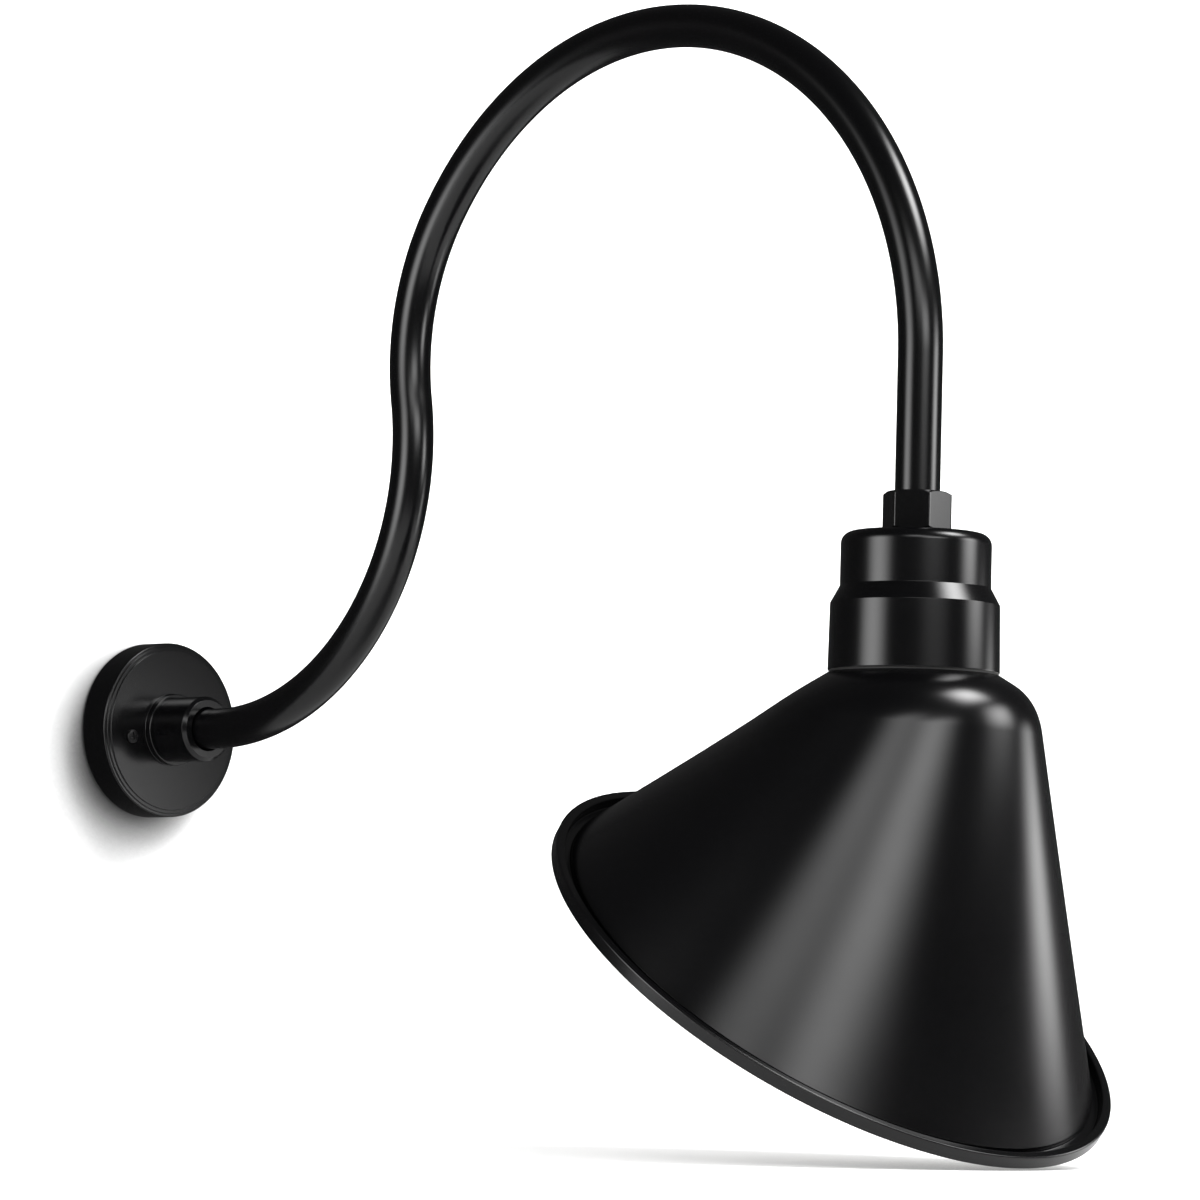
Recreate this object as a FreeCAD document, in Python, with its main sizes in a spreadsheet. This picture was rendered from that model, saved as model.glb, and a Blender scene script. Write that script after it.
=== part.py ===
import FreeCAD, Part
import math
import os
import re
import Sketcher

# A gooseneck wall sconce: a round cast backplate on the wall, a pipe arm that rises and arches
# over, and a socket housing on its end that carries an angled steel shade and a bulb.
# The row frame has its origin on the wall, at the centre of the backplate. The wall is the plane
# Y = 0, the arm reaches towards -Y, +X is along the wall and +Z is up. Sizes are in millimetres.

document = FreeCAD.newDocument("GooseneckWallSconce")
sheet = document.addObject("Spreadsheet::Sheet", "Sizes")

clearance_sizes = {
    "running_gap": 0.05,         # a shaft or thread in the hole that it turns in
    "screw_gap": 0.3,            # a screw shank in a plain hole
    "soft_gap": 0.3,             # curved or soft pieces beside a neighbour
    "cut_margin": 1.0,           # how far a cut or a pad runs past the surface it starts from
}
screw_sizes = {
    "head_side_share": 0.55,     # upright part of a screw head, as a share of its height
    "head_top_share": 0.7,       # flat top of a screw head, as a share of its radius
    "recess_length": 5.2,        # cross recess of a plate screw
    "recess_width": 1.1,         # also the slots of the smaller screws
    "recess_depth": 1.3,
}
bracket_sizes = {
    "strap_thickness": 2.0,      # both steel straps of the swivelling mounting bar
    "strap_width": 17.0,
    "box_hole_spacing": 88.9,    # 3 1/2 inch, the ears of a round or octagonal ceiling box
    "box_hole_radius": 2.3,      # clears a number 8 box screw
    "box_strap_length": 99.0,
    "plate_strap_length": 88.0,
    "screw_turn": 10.0,          # degrees that the plate screws stand off the level
    "plate_screw_spacing": 72.0,
    "plate_screw_radius": 2.0,
    "rivet_radius": 6.5,         # hollow rivet in the middle of both straps
    "rivet_bore_radius": 5.2,
    "rivet_flange_radius": 8.2,
    "rivet_flange_height": 0.8,
    "ground_screw_place": 20.0,  # from the middle of the strap
    "ground_screw_radius": 1.9,
    "ground_head_radius": 3.8,
    "ground_head_height": 2.2,
}
plate_sizes = {
    "gasket_thickness": 1.5,
    "gasket_inset": 0.8,         # the foam ring stops short of the plate's edge
    "gasket_width": 7.5,
    "plate_radius": 58.5,
    "plate_wall": 3.2,
    "plate_depth": 23.2,         # wall to the shoulder of the plate
    "plate_edge_round": 1.1,
    "step_inset": 2.3,           # width of the outer ledge
    "step_rise": 0.9,
    "face_inset": 4.6,           # both ledges round the raised face
    "face_rise": 1.8,
    "face_edge_round": 0.5,
    "screw_head_radius": 4.5,
    "screw_head_height": 2.3,
}
hub_sizes = {
    "boss_radius": 24.0,
    "boss_length": 4.8,
    "boss_edge": 0.8,
    "collar_radius": 21.6,
    "collar_length": 31.2,
    "collar_bevel": 2.2,
    "collar_mouth": 1.4,         # bevel round the mouth that the arm leaves by
    "set_screw_radius": 2.5,
    "set_screw_length": 7.5,
    "set_screw_point": 1.5,      # radius of its flat point
    "set_screw_socket": 1.2,
    "set_screw_place": 9.0,      # behind the front of the collar
}
arm_sizes = {
    "pipe_radius": 13.35,        # 3/4 inch iron pipe size
    "pipe_wall": 2.6,
    "arm_start": 22.5,           # wall to the inner end of the arm
    "straight_run": 70.0,        # wall to the start of the first bend
    "rise_radius": 178.6,
    "rise_angle": 99.6,          # degrees, so that the arm leans back a little
    "arch_radius_rear": 168.1,
    "arch_angle_rear": 42.5,     # degrees
    "arch_radius_front": 219.2,
    "arm_drop": 106.0,           # end of the arch to the top of the housing
    "arm_engagement": 17.0,      # top of the housing to the lower end of the arm
    "lead_radius": 1.3,
    "lead_start": 19.5,          # wall to the wire connectors' mouths
    "connector_length": 13.0,
    "connector_skirt": 4.5,
    "connector_radius": 5.0,
    "connector_tip_radius": 3.2,
}
nut_sizes = {
    "nut_across_flats": 35.8,
    "nut_height": 23.0,
    "nut_bevel": 2.2,
    "nut_bevel_slope": 0.7,      # fall of the bevel for each millimetre outwards
    "washer_radius": 17.0,
    "washer_thickness": 1.0,
}
housing_sizes = {
    "housing_wall": 3.2,
    "casting_draft": 0.6,        # how much narrower the lower ring is at its top
    "upper_radius": 44.3,
    "upper_height": 32.0,
    "top_round": 7.0,
    "top_thickness": 6.0,
    "taper_height": 10.0,
    "lower_radius": 50.4,
    "housing_height": 82.0,
    "edge_round": 0.5,
    "arm_hub_radius": 19.0,
    "arm_hub_depth": 19.0,
    "post_radius": 4.6,          # posts that carry the holder plate
    "post_place": 29.5,
    "post_length": 22.0,         # from the top of the housing
    "lug_radius": 4.4,           # lugs that take the shade screws
    "lug_place": 43.6,
    "lug_height": 14.0,
}
holder_sizes = {
    "holder_plate_radius": 35.5,
    "holder_plate_thickness": 2.0,
    "wire_hole_radius": 12.0,
    "small_screw_radius": 1.9,
    "small_head_radius": 3.6,
    "small_head_height": 2.0,
    "small_screw_bite": 9.0,
    "holder_radius": 21.0,       # glazed porcelain lampholder
    "holder_height": 38.0,
    "holder_floor": 7.0,
    "holder_flange_radius": 25.0,
    "holder_flange_height": 6.0,
    "holder_flange_bevel": 2.0,
    "holder_flange_slope": 3.0,
    "holder_edge_round": 1.5,
    "holder_screw_place": 19.0,
    "terminal_radius": 2.6,
    "terminal_depth": 3.5,
    "shell_wall": 0.5,
    "shell_gap": 0.25,           # screw shell to the porcelain round it
    "shell_height": 26.0,
    "shell_floor_gap": 2.0,      # contact to the hole in the shell's floor
    "contact_radius": 4.2,
    "contact_height": 2.4,
    "contact_step": 1.2,
    "contact_crown_radius": 2.5,
}
bulb_sizes = {
    "cap_radius": 13.0,          # E26 screw cap
    "cap_thread_depth": 0.75,
    "thread_pitch": 3.629,       # seven turns to the inch
    "thread_rise_share": 0.4,    # of the pitch, where the crest of the thread starts
    "cap_turns": 5,
    "cap_skirt": 3.5,
    "cap_seat": 0.3,             # bulb contact to lampholder contact
    "insulator_height": 3.2,
    "tip_radius": 4.6,
    "tip_height": 1.6,
    "tip_end_radius": 2.8,
    "globe_radius": 30.0,
    "globe_length": 82.0,        # from the cap's rim to the end of the glass
    "globe_neck_radius": 12.6,
    "glass_wall": 1.0,
}
shade_sizes = {
    "seam_gasket": 1.0,
    "seam_inset": 0.9,
    "shade_wall": 1.3,
    "crown_wall_share": 0.3,     # of the wall, by which the hollow is narrower at the crown
    "corner_wall_share": 0.62,   # of the wall, by which the hollow's corner is lower
    "foot_wall_share": 1.2,      # of the wall, by which the hollow is narrower at the foot
    "hollow_overlap": 0.5,       # how far the hollow runs below the foot of the cone
    "mouth_radius": 37.0,        # hole in the crown that the bulb goes through
    "mouth_lip": 1.0,            # mouth to the gasket and to the clamping ring
    "shoulder_radius": 73.0,     # where the crown would meet the cone, unrounded
    "shoulder_depth": 14.0,      # from the crown's seat down to that corner
    "crown_turn_share": 0.6,     # how much of the crown the rounded shoulder takes
    "cone_turn_share": 0.08,     # how much of the cone it takes
    "rim_radius": 183.2,
    "rim_tilt": 35.3,            # degrees between the rim and the level
    "rim_back": 59.4,            # rim centre, from the arm's axis towards the wall
    "rim_depth": 261.6,          # rim centre, below the top of the housing
    "band_width": 6.0,           # rolled band round the rim
    "band_height": 8.4,
    "band_round": 1.3,
    "brim_width": 11.6,          # foot of the cone to the outside of the band
    "brim_height": 1.0,          # floor of the channel inside the band
    "foot_height": 5.9,          # where the cone turns down into the channel
    "ring_width": 9.5,           # clamping ring under the crown
    "ring_thickness": 2.5,
    "shade_screw_radius": 2.0,
    "shade_screw_bite": 8.0,
}

all_sizes = {}
for group in (clearance_sizes, screw_sizes, bracket_sizes, plate_sizes, hub_sizes, arm_sizes,
              nut_sizes, housing_sizes, holder_sizes, bulb_sizes, shade_sizes):
    all_sizes.update(group)
for row, (alias, amount) in enumerate(all_sizes.items(), 1):
    sheet.set("A%d" % row, alias)
    sheet.set("B%d" % row, str(amount))
    sheet.setAlias("B%d" % row, alias)
document.recompute()

# Heights and lengths that follow from the driving sizes.
worked = {
    "step_height": "plate_depth + step_rise",
    "face_height": "plate_depth + face_rise",
    "boss_top": "face_height + boss_length",
    "hub_front": "boss_top + collar_length",
    "bore_radius": "pipe_radius + running_gap",
    "pipe_bore": "pipe_radius - pipe_wall",
    "lead_offset": "pipe_bore - lead_radius - soft_gap",
    "front_angle": "(rise_angle - arch_angle_rear)",
    "reach": "(straight_run + rise_radius * sin(rise_angle * 1 deg)"
             " + arch_radius_rear * (sin(rise_angle * 1 deg) - sin(front_angle * 1 deg))"
             " + arch_radius_front * (1 + sin(front_angle * 1 deg)))",
    "arch_end": "(rise_radius * (1 - cos(rise_angle * 1 deg))"
                " + arch_radius_rear * (cos(front_angle * 1 deg) - cos(rise_angle * 1 deg))"
                " - arch_radius_front * cos(front_angle * 1 deg))",
    "head_height": "(arch_end - arm_drop)",
    "plate_seat": "post_length",
    "holder_top": "(plate_seat + holder_plate_thickness)",
    "holder_mouth": "(holder_top + holder_height)",
    "shell_bore": "(cap_radius + running_gap * 2)",
    "cavity_radius": "(shell_bore + cap_thread_depth + shell_wall + shell_gap)",
    "contact_face": "(holder_top + holder_floor + contact_height)",
    "tip_face": "(contact_face + cap_seat)",
    "cap_top": "(tip_face + tip_height + insulator_height)",
    "cap_bore": "(cap_radius - shell_wall - cap_thread_depth)",
    "cap_length": "(thread_pitch * cap_turns + cap_skirt)",
    "cap_rim": "(cap_top + cap_length)",
    "crown_seat": "(housing_height + seam_gasket)",
    "crown_radius": "lower_radius",
    "ring_seat": "(crown_seat + shade_wall)",
    "cone_foot": "(rim_radius - brim_width)",
}


def formula(text):
    """Spell out the worked sizes, and point each named size at its cell."""
    while any(re.search(r"\b%s\b" % name, text) for name in worked):
        for name, meaning in worked.items():
            text = re.sub(r"\b%s\b" % name, "(%s)" % meaning, text)
    return re.sub(r"[a-z_]+", lambda word: "Sizes." + word.group() if word.group() in all_sizes
                  else word.group(), text)


def amount_of(text):
    """The number that a formula comes to now."""
    amount = sheet.evalExpression(formula(text))
    return float(getattr(amount, "Value", amount))


def new_body(label):
    body = document.addObject("PartDesign::Body", label)
    body.Label = label
    body.AllowCompound = True
    return body


def origin_feature(body, role):
    return [part for part in body.Origin.OriginFeatures if part.Role == role][0]


def sketch_on(body, name, plane, across="0", up="0", out="0", tilt=None):
    """A sketch on an origin plane, shifted in that plane or off it, and turned about its normal."""
    sketch = body.newObject("Sketcher::SketchObject", name)
    sketch.AttachmentSupport = [(origin_feature(body, plane), "")]
    sketch.MapMode = "FlatFace"
    turn = amount_of(tilt) if tilt else 0.0
    place = FreeCAD.Vector(amount_of(across), amount_of(up), amount_of(out))
    sketch.AttachmentOffset = FreeCAD.Placement(place, FreeCAD.Rotation(FreeCAD.Vector(0, 0, 1), turn))
    sketch.setExpression(".AttachmentOffset.Base.x", formula(across))
    sketch.setExpression(".AttachmentOffset.Base.y", formula(up))
    sketch.setExpression(".AttachmentOffset.Base.z", formula(out))
    if tilt:
        sketch.setExpression(".AttachmentOffset.Rotation.Angle", formula(tilt) + " * 1 deg")
    return sketch


def pin_constraint(sketch, kind, first, second, text):
    """Hold a horizontal or vertical distance between two points at a formula."""
    distance = amount_of(text)
    ends = first + second if distance >= 0 else second + first
    number = sketch.addConstraint(Sketcher.Constraint(kind, *ends, abs(distance)))
    sketch.setExpression("Constraints[%d]" % number, formula(text if distance >= 0 else "-(%s)" % text))


def pin_point(sketch, item, end, across, up):
    """Hold one point of a sketch at (across, up) from the sketch's origin."""
    pin_constraint(sketch, "DistanceX", (-1, 1), (item, end), across)
    pin_constraint(sketch, "DistanceY", (-1, 1), (item, end), up)


def draw_outline(sketch, corners):
    """A closed outline of straight edges through corners given as pairs of formulas."""
    points = [FreeCAD.Vector(amount_of(across), amount_of(up), 0) for across, up in corners]
    first = sketch.GeometryCount
    for start, end in zip(points, points[1:] + points[:1]):
        sketch.addGeometry(Part.LineSegment(start, end), False)
    for number, (across, up) in enumerate(corners):
        following = first + (number + 1) % len(corners)
        sketch.addConstraint(Sketcher.Constraint("Coincident", first + number, 2, following, 1))
        pin_point(sketch, first + number, 1, across, up)


def draw_circle(sketch, radius, across="0", up="0"):
    centre = FreeCAD.Vector(amount_of(across), amount_of(up), 0)
    circle = Part.Circle(centre, FreeCAD.Vector(0, 0, 1), amount_of(radius))
    item = sketch.addGeometry(circle, False)
    pin_point(sketch, item, 3, across, up)
    number = sketch.addConstraint(Sketcher.Constraint("Radius", item, amount_of(radius)))
    sketch.setExpression("Constraints[%d]" % number, formula(radius))


def turned(body, name, corners, cut=False, across="0"):
    """An outline of (radius, height) corners turned about the body's Z, or about a line across."""
    sketch = sketch_on(body, name + "_outline", "XZ_Plane", across=across)
    draw_outline(sketch, corners)
    return turned_about(body, name, sketch, cut)


def turned_about(body, name, sketch, cut=False):
    """A full turn of a sketch about its own upright axis."""
    before = body.Tip.Shape.Volume if cut else 0.0
    feature = body.newObject("PartDesign::Groove" if cut else "PartDesign::Revolution", name)
    feature.Profile = sketch
    feature.ReferenceAxis = (sketch, ["V_Axis"])
    feature.Angle = 360
    document.recompute()
    if cut and feature.Shape.Volume >= before:
        raise RuntimeError(name + " cut nothing")
    return feature


def padded(body, name, sketch, length, back=False):
    pad = body.newObject("PartDesign::Pad", name)
    pad.Profile = sketch
    pad.setExpression("Length", formula(length))
    pad.Reversed = back
    document.recompute()
    return pad


def pocketed(body, name, sketch, depth, back=False):
    """Cut a sketch into the body, and make sure that it took material away."""
    before = body.Tip.Shape.Volume
    pocket = body.newObject("PartDesign::Pocket", name)
    pocket.Profile = sketch
    pocket.setExpression("Length", formula(depth))
    pocket.Reversed = back
    document.recompute()
    if pocket.Shape.Volume >= before:
        raise RuntimeError(name + " cut nothing")
    return pocket


def repeated(body, name, feature, count):
    """The feature's copies, evenly spaced round the body's Z axis."""
    pattern = body.newObject("PartDesign::PolarPattern", name)
    pattern.Originals = [feature] if not isinstance(feature, list) else feature
    pattern.Axis = (origin_feature(body, "Z_Axis"), [""])
    pattern.Angle = 360
    pattern.Occurrences = count
    body.Tip = pattern
    document.recompute()
    return pattern


def ring_edges(body, radius, height):
    """The circular edges about Z that have this radius at this height."""
    names = []
    for number, edge in enumerate(body.Tip.Shape.Edges, 1):
        if not isinstance(edge.Curve, Part.Circle):
            continue
        centre = edge.Curve.Center
        same_size = abs(edge.Curve.Radius - amount_of(radius)) < 1e-3
        on_axis = math.hypot(centre.x, centre.y) < 1e-3
        if same_size and on_axis and abs(centre.z - amount_of(height)) < 1e-3:
            names.append("Edge%d" % number)
    return names


def edged(body, name, kind, rings, size):
    """Round or bevel the named rings, which are (radius, height) pairs."""
    names = [edge for radius, height in rings for edge in ring_edges(body, radius, height)]
    feature = body.newObject("PartDesign::" + kind, name)
    feature.Base = (body.Group[-2], names)
    feature.setExpression("Radius" if kind == "Fillet" else "Size", formula(size))
    document.recompute()
    return feature


def place(body, across="0", out="0", up="0", turn=None):
    """Put a body at its place in the row frame, with a turn given as (axis, degrees)."""
    rotation = FreeCAD.Rotation()
    for axis, degrees in turn or []:
        rotation = rotation.multiply(FreeCAD.Rotation(FreeCAD.Vector(*axis), degrees))
    spot = FreeCAD.Vector(amount_of(across), -amount_of(out), amount_of(up))
    body.Placement = FreeCAD.Placement(spot, rotation)
    body.setExpression(".Placement.Base.x", formula(across))
    body.setExpression(".Placement.Base.y", formula("-(%s)" % out))
    body.setExpression(".Placement.Base.z", formula(up))


def place_on_wall(body, spin=0.0):
    """Local Z points out of the wall, and local Y up."""
    place(body, turn=[((1, 0, 0), 90.0), ((0, 0, 1), spin)])


def place_in_head(body, spin=0.0):
    """Local Z points down from the top of the housing, and local Y away from the wall."""
    place(body, out="reach", up="head_height", turn=[((1, 0, 0), 180.0), ((0, 0, 1), spin)])


# Mounting bar and gasket, behind the backplate

def make_wall_gasket():
    body = new_body("wall_gasket")
    turned(body, "gasket_ring", [
        ("plate_radius - gasket_inset - gasket_width", "0"),
        ("plate_radius - gasket_inset", "0"),
        ("plate_radius - gasket_inset", "gasket_thickness"),
        ("plate_radius - gasket_inset - gasket_width", "gasket_thickness")])
    place_on_wall(body)


def strap(label, length, base, hole_spacing, hole_radius, extra_hole=None):
    """A flat strap along local X with a rivet hole in its middle and a hole near each end."""
    body = new_body(label)
    bar = sketch_on(body, label + "_bar", "XY_Plane", out=base)
    half, side = "%s / 2" % length, "strap_width / 2"
    draw_outline(bar, [("-(%s)" % half, "-(%s)" % side), (half, "-(%s)" % side),
                       (half, side), ("-(%s)" % half, side)])
    draw_circle(bar, "rivet_radius + running_gap")
    for end in ("-(%s / 2)" % hole_spacing, "%s / 2" % hole_spacing):
        draw_circle(bar, hole_radius, across=end)
    if extra_hole:
        draw_circle(bar, extra_hole[1], across=extra_hole[0])
    padded(body, label + "_plate", bar, "strap_thickness")
    corners = []
    for number, edge in enumerate(body.Tip.Shape.Edges, 1):
        upright = isinstance(edge.Curve, Part.Line) and abs(edge.tangentAt(edge.FirstParameter).z) > 0.9
        if upright:
            corners.append("Edge%d" % number)
    rounding = body.newObject("PartDesign::Fillet", label + "_corners")
    rounding.Base = (body.Group[-2], corners)
    rounding.setExpression("Radius", formula("strap_width / 4"))
    return body


def make_straps():
    box_strap = strap("box_strap", "box_strap_length", "0", "box_hole_spacing", "box_hole_radius")
    place_on_wall(box_strap, spin=90.0)
    plate_strap = strap("plate_strap", "plate_strap_length", "strap_thickness", "plate_screw_spacing",
                        "plate_screw_radius + running_gap",
                        ("ground_screw_place", "ground_screw_radius + running_gap"))
    place_on_wall(plate_strap, spin=amount_of("screw_turn"))


def make_strap_rivet():
    body = new_body("strap_rivet")
    turned(body, "rivet_tube", [
        ("rivet_bore_radius", "0"),
        ("rivet_radius", "0"),
        ("rivet_radius", "strap_thickness * 2"),
        ("rivet_flange_radius", "strap_thickness * 2"),
        ("rivet_flange_radius", "strap_thickness * 2 + rivet_flange_height"),
        ("rivet_bore_radius", "strap_thickness * 2 + rivet_flange_height")])
    place_on_wall(body)


def screw(body, name, across, seat, tip, radius, head_radius, head_height):
    """A screw with a bevelled head on its seat, and its shank running from there to the tip."""
    outward = "(%s) + %s" if amount_of(seat) >= amount_of(tip) else "(%s) - %s"
    return turned(body, name, [
        ("0", tip),
        (radius, tip),
        (radius, seat),
        (head_radius, seat),
        (head_radius, outward % (seat, "%s * head_side_share" % head_height)),
        ("%s * head_top_share" % head_radius, outward % (seat, head_height)),
        ("0", outward % (seat, head_height))], across=across)


def drive_slot(body, name, across, top, length, width, depth, upright=False, below=True):
    """One slot of a screwdriver recess, cut into a head from its top."""
    slot = sketch_on(body, name + "_slot", "XY_Plane", out=top, across=across)
    half, side = "%s / 2" % length, "%s / 2" % width
    if upright:
        half, side = side, half
    draw_outline(slot, [("-(%s)" % half, "-(%s)" % side), (half, "-(%s)" % side),
                        (half, side), ("-(%s)" % half, side)])
    return pocketed(body, name, slot, depth, back=not below)


def make_ground_screw():
    body = new_body("ground_screw")
    seat = "strap_thickness * 2"
    screw(body, "ground_screw_turned", "ground_screw_place", seat, "strap_thickness",
          "ground_screw_radius", "ground_head_radius", "ground_head_height")
    drive_slot(body, "ground_screw_drive", "ground_screw_place", seat + " + ground_head_height",
               "ground_head_radius * 2", "recess_width", "recess_width")
    place_on_wall(body, spin=amount_of("screw_turn"))


# Backplate, with its boss, and the collar on it

def make_backplate():
    body = new_body("backplate")
    turned(body, "plate_casting", [
        ("plate_radius - plate_wall", "gasket_thickness"),
        ("plate_radius", "gasket_thickness"),
        ("plate_radius", "plate_depth"),
        ("plate_radius - step_inset", "plate_depth"),
        ("plate_radius - step_inset", "step_height"),
        ("plate_radius - face_inset", "step_height"),
        ("plate_radius - face_inset", "face_height"),
        ("boss_radius", "face_height"),
        ("boss_radius", "boss_top"),
        ("bore_radius", "boss_top"),
        ("bore_radius", "face_height - plate_wall"),
        ("plate_radius - plate_wall", "face_height - plate_wall")])
    holes = sketch_on(body, "screw_holes_drawing", "XY_Plane", out="face_height")
    for side in ("-", ""):
        draw_circle(holes, "plate_screw_radius + screw_gap",
                    across=side + "(plate_screw_spacing / 2) * cos(screw_turn * 1 deg)",
                    up=side + "(plate_screw_spacing / 2) * sin(screw_turn * 1 deg)")
    pocketed(body, "screw_holes", holes, "plate_wall + plate_depth")
    edged(body, "plate_edge", "Fillet", [("plate_radius", "plate_depth")], "plate_edge_round")
    edged(body, "face_edges", "Fillet", [("plate_radius - step_inset", "step_height"),
                                         ("plate_radius - face_inset", "face_height")],
          "face_edge_round")
    edged(body, "boss_bevel", "Chamfer", [("boss_radius", "boss_top")], "boss_edge")
    place_on_wall(body)


def make_plate_screws():
    body = new_body("plate_screws")
    place_across = "plate_screw_spacing / 2"
    shank = screw(body, "plate_screw", place_across, "face_height", "strap_thickness",
                  "plate_screw_radius", "screw_head_radius", "screw_head_height")
    slots = [drive_slot(body, "cross_" + way, place_across, "face_height + screw_head_height",
                        "recess_length", "recess_width", "recess_depth", upright=way == "upright")
             for way in ("level", "upright")]
    repeated(body, "plate_screw_pair", [shank] + slots, 2)
    place_on_wall(body, spin=amount_of("screw_turn"))


def make_hub_collar():
    body = new_body("hub_collar")
    turned(body, "collar_ring", [
        ("bore_radius", "boss_top"),
        ("collar_radius", "boss_top"),
        ("collar_radius", "hub_front"),
        ("bore_radius", "hub_front")])
    hole = sketch_on(body, "set_screw_hole_drawing", "XZ_Plane", up="hub_front - set_screw_place")
    draw_circle(hole, "set_screw_radius + running_gap")
    pocketed(body, "set_screw_hole", hole, "collar_radius + cut_margin")
    edged(body, "collar_front", "Chamfer", [("collar_radius", "hub_front")], "collar_bevel")
    edged(body, "collar_mouth_bevel", "Chamfer", [("bore_radius", "hub_front")], "collar_mouth")
    place_on_wall(body, spin=180.0)


def make_hub_set_screw():
    """A grub screw in the underside of the collar, with a hexagon socket."""
    body = new_body("hub_set_screw")
    near = "pipe_radius + soft_gap"
    turned(body, "grub", [
        ("0", near),
        ("set_screw_point", near),
        ("set_screw_radius", near + " + set_screw_radius - set_screw_point"),
        ("set_screw_radius", near + " + set_screw_length"),
        ("0", near + " + set_screw_length")])
    socket = sketch_on(body, "grub_socket_drawing", "XY_Plane", out=near + " + set_screw_length")
    draw_hexagon(socket, "set_screw_socket")
    pocketed(body, "grub_socket", socket, "set_screw_length / 2")
    place(body, out="hub_front - set_screw_place", turn=[((1, 0, 0), 180.0)])


def draw_hexagon(sketch, radius):
    """A hexagon by its corner radius, with two corners on the sketch's X axis."""
    corners = []
    for number in range(6):
        angle = "%d deg" % (60 * number)
        corners.append(("(%s) * cos(%s)" % (radius, angle), "(%s) * sin(%s)" % (radius, angle)))
    draw_outline(sketch, corners)


# Arm and the leads inside it

def draw_arm_path(sketch, start, end_length):
    """Out from the wall, up and back round the rise, over the arch in two radii, and down."""
    level = FreeCAD.Vector(0, 0, 1)
    rise, first, second = [amount_of(name) for name in
                           ("rise_radius", "arch_radius_rear", "arch_radius_front")]
    lean = math.radians(amount_of("rise_angle"))
    over = math.radians(amount_of("front_angle"))
    begin = FreeCAD.Vector(amount_of(start), 0, 0)
    bend = FreeCAD.Vector(amount_of("straight_run"), 0, 0)
    rise_centre = bend + FreeCAD.Vector(0, rise, 0)
    rise_end = rise_centre + FreeCAD.Vector(math.sin(lean), -math.cos(lean), 0) * rise
    first_centre = rise_end + FreeCAD.Vector(math.sin(lean), -math.cos(lean), 0) * first
    first_end = first_centre + FreeCAD.Vector(-math.sin(over), math.cos(over), 0) * first
    second_centre = first_end + FreeCAD.Vector(math.sin(over), -math.cos(over), 0) * second
    arch_end = second_centre + FreeCAD.Vector(second, 0, 0)
    quarter = math.pi / 2
    run = sketch.addGeometry(Part.LineSegment(begin, bend), False)
    rise_arc = sketch.addGeometry(Part.ArcOfCircle(
        Part.Circle(rise_centre, level, rise), -quarter, lean - quarter), False)
    first_arc = sketch.addGeometry(Part.ArcOfCircle(
        Part.Circle(first_centre, level, first), over + quarter, lean + quarter), False)
    second_arc = sketch.addGeometry(Part.ArcOfCircle(
        Part.Circle(second_centre, level, second), 0, over + quarter), False)
    foot = arch_end - FreeCAD.Vector(0, amount_of(end_length), 0)
    drop = sketch.addGeometry(Part.LineSegment(arch_end, foot), False)
    sketch.addConstraint(Sketcher.Constraint("Horizontal", run))
    sketch.addConstraint(Sketcher.Constraint("Vertical", drop))
    joins = [(run, 2, rise_arc, 1), (rise_arc, 2, first_arc, 2),
             (first_arc, 1, second_arc, 2), (second_arc, 1, drop, 1)]
    for join in joins:
        sketch.addConstraint(Sketcher.Constraint("Tangent", *join))
    pin_point(sketch, run, 1, start, "0")
    pin_constraint(sketch, "DistanceX", (-1, 1), (run, 2), "straight_run")
    pin_constraint(sketch, "DistanceY", (drop, 2), (drop, 1), end_length)
    for arc, radius in ((rise_arc, "rise_radius"), (first_arc, "arch_radius_rear"),
                        (second_arc, "arch_radius_front")):
        number = sketch.addConstraint(Sketcher.Constraint("Radius", arc, amount_of(radius)))
        sketch.setExpression("Constraints[%d]" % number, formula(radius))
    for arc, angle in ((rise_arc, "rise_angle"), (first_arc, "arch_angle_rear")):
        span = math.radians(amount_of(angle))
        number = sketch.addConstraint(Sketcher.Constraint("Angle", arc, span))
        sketch.setExpression("Constraints[%d]" % number, formula(angle) + " * 1 deg")


def swept(body, name, path, radius, start, side="0", cut=False):
    """A round section carried along a path that starts square to the wall."""
    section = sketch_on(body, name + "_section", "YZ_Plane", out=start)
    draw_circle(section, radius, across=side)
    sweep = body.newObject("PartDesign::SubtractivePipe" if cut else "PartDesign::AdditivePipe", name)
    sweep.Profile = section
    sweep.Spine = path
    document.recompute()
    return sweep


def along_arm(body):
    """Local X points out of the wall."""
    place(body, turn=[((0, 0, 1), -90.0)])


def make_gooseneck_arm():
    body = new_body("gooseneck_arm")
    path = sketch_on(body, "arm_path", "XZ_Plane")
    draw_arm_path(path, "arm_start", "arm_drop + arm_engagement")
    swept(body, "arm_outside", path, "pipe_radius", "arm_start")
    swept(body, "arm_bore", path, "pipe_bore", "arm_start", cut=True)
    along_arm(body)


def make_leads():
    """Two insulated leads, which lie along the sides of the arm's bore."""
    for label, side in (("live_lead", ""), ("neutral_lead", "-")):
        body = new_body(label)
        other = "-" if side == "" else ""
        path = sketch_on(body, label + "_path", "XZ_Plane", out=other + "(lead_offset)")
        draw_arm_path(path, "lead_start", "arm_drop + holder_top - soft_gap")
        swept(body, label + "_wire", path, "lead_radius", "lead_start", side=side + "(lead_offset)")
        along_arm(body)


def make_wire_connectors():
    """Twist-on connectors on the leads' inner ends, in the hollow of the backplate."""
    body = new_body("wire_connectors")
    cone = turned(body, "connector", [
        ("0", "lead_start"),
        ("connector_radius", "lead_start"),
        ("connector_radius", "lead_start - connector_skirt"),
        ("connector_tip_radius", "lead_start - connector_length"),
        ("0", "lead_start - connector_length")], across="lead_offset")
    repeated(body, "connector_pair", cone, 2)
    place_on_wall(body)


# Lock nut

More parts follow.
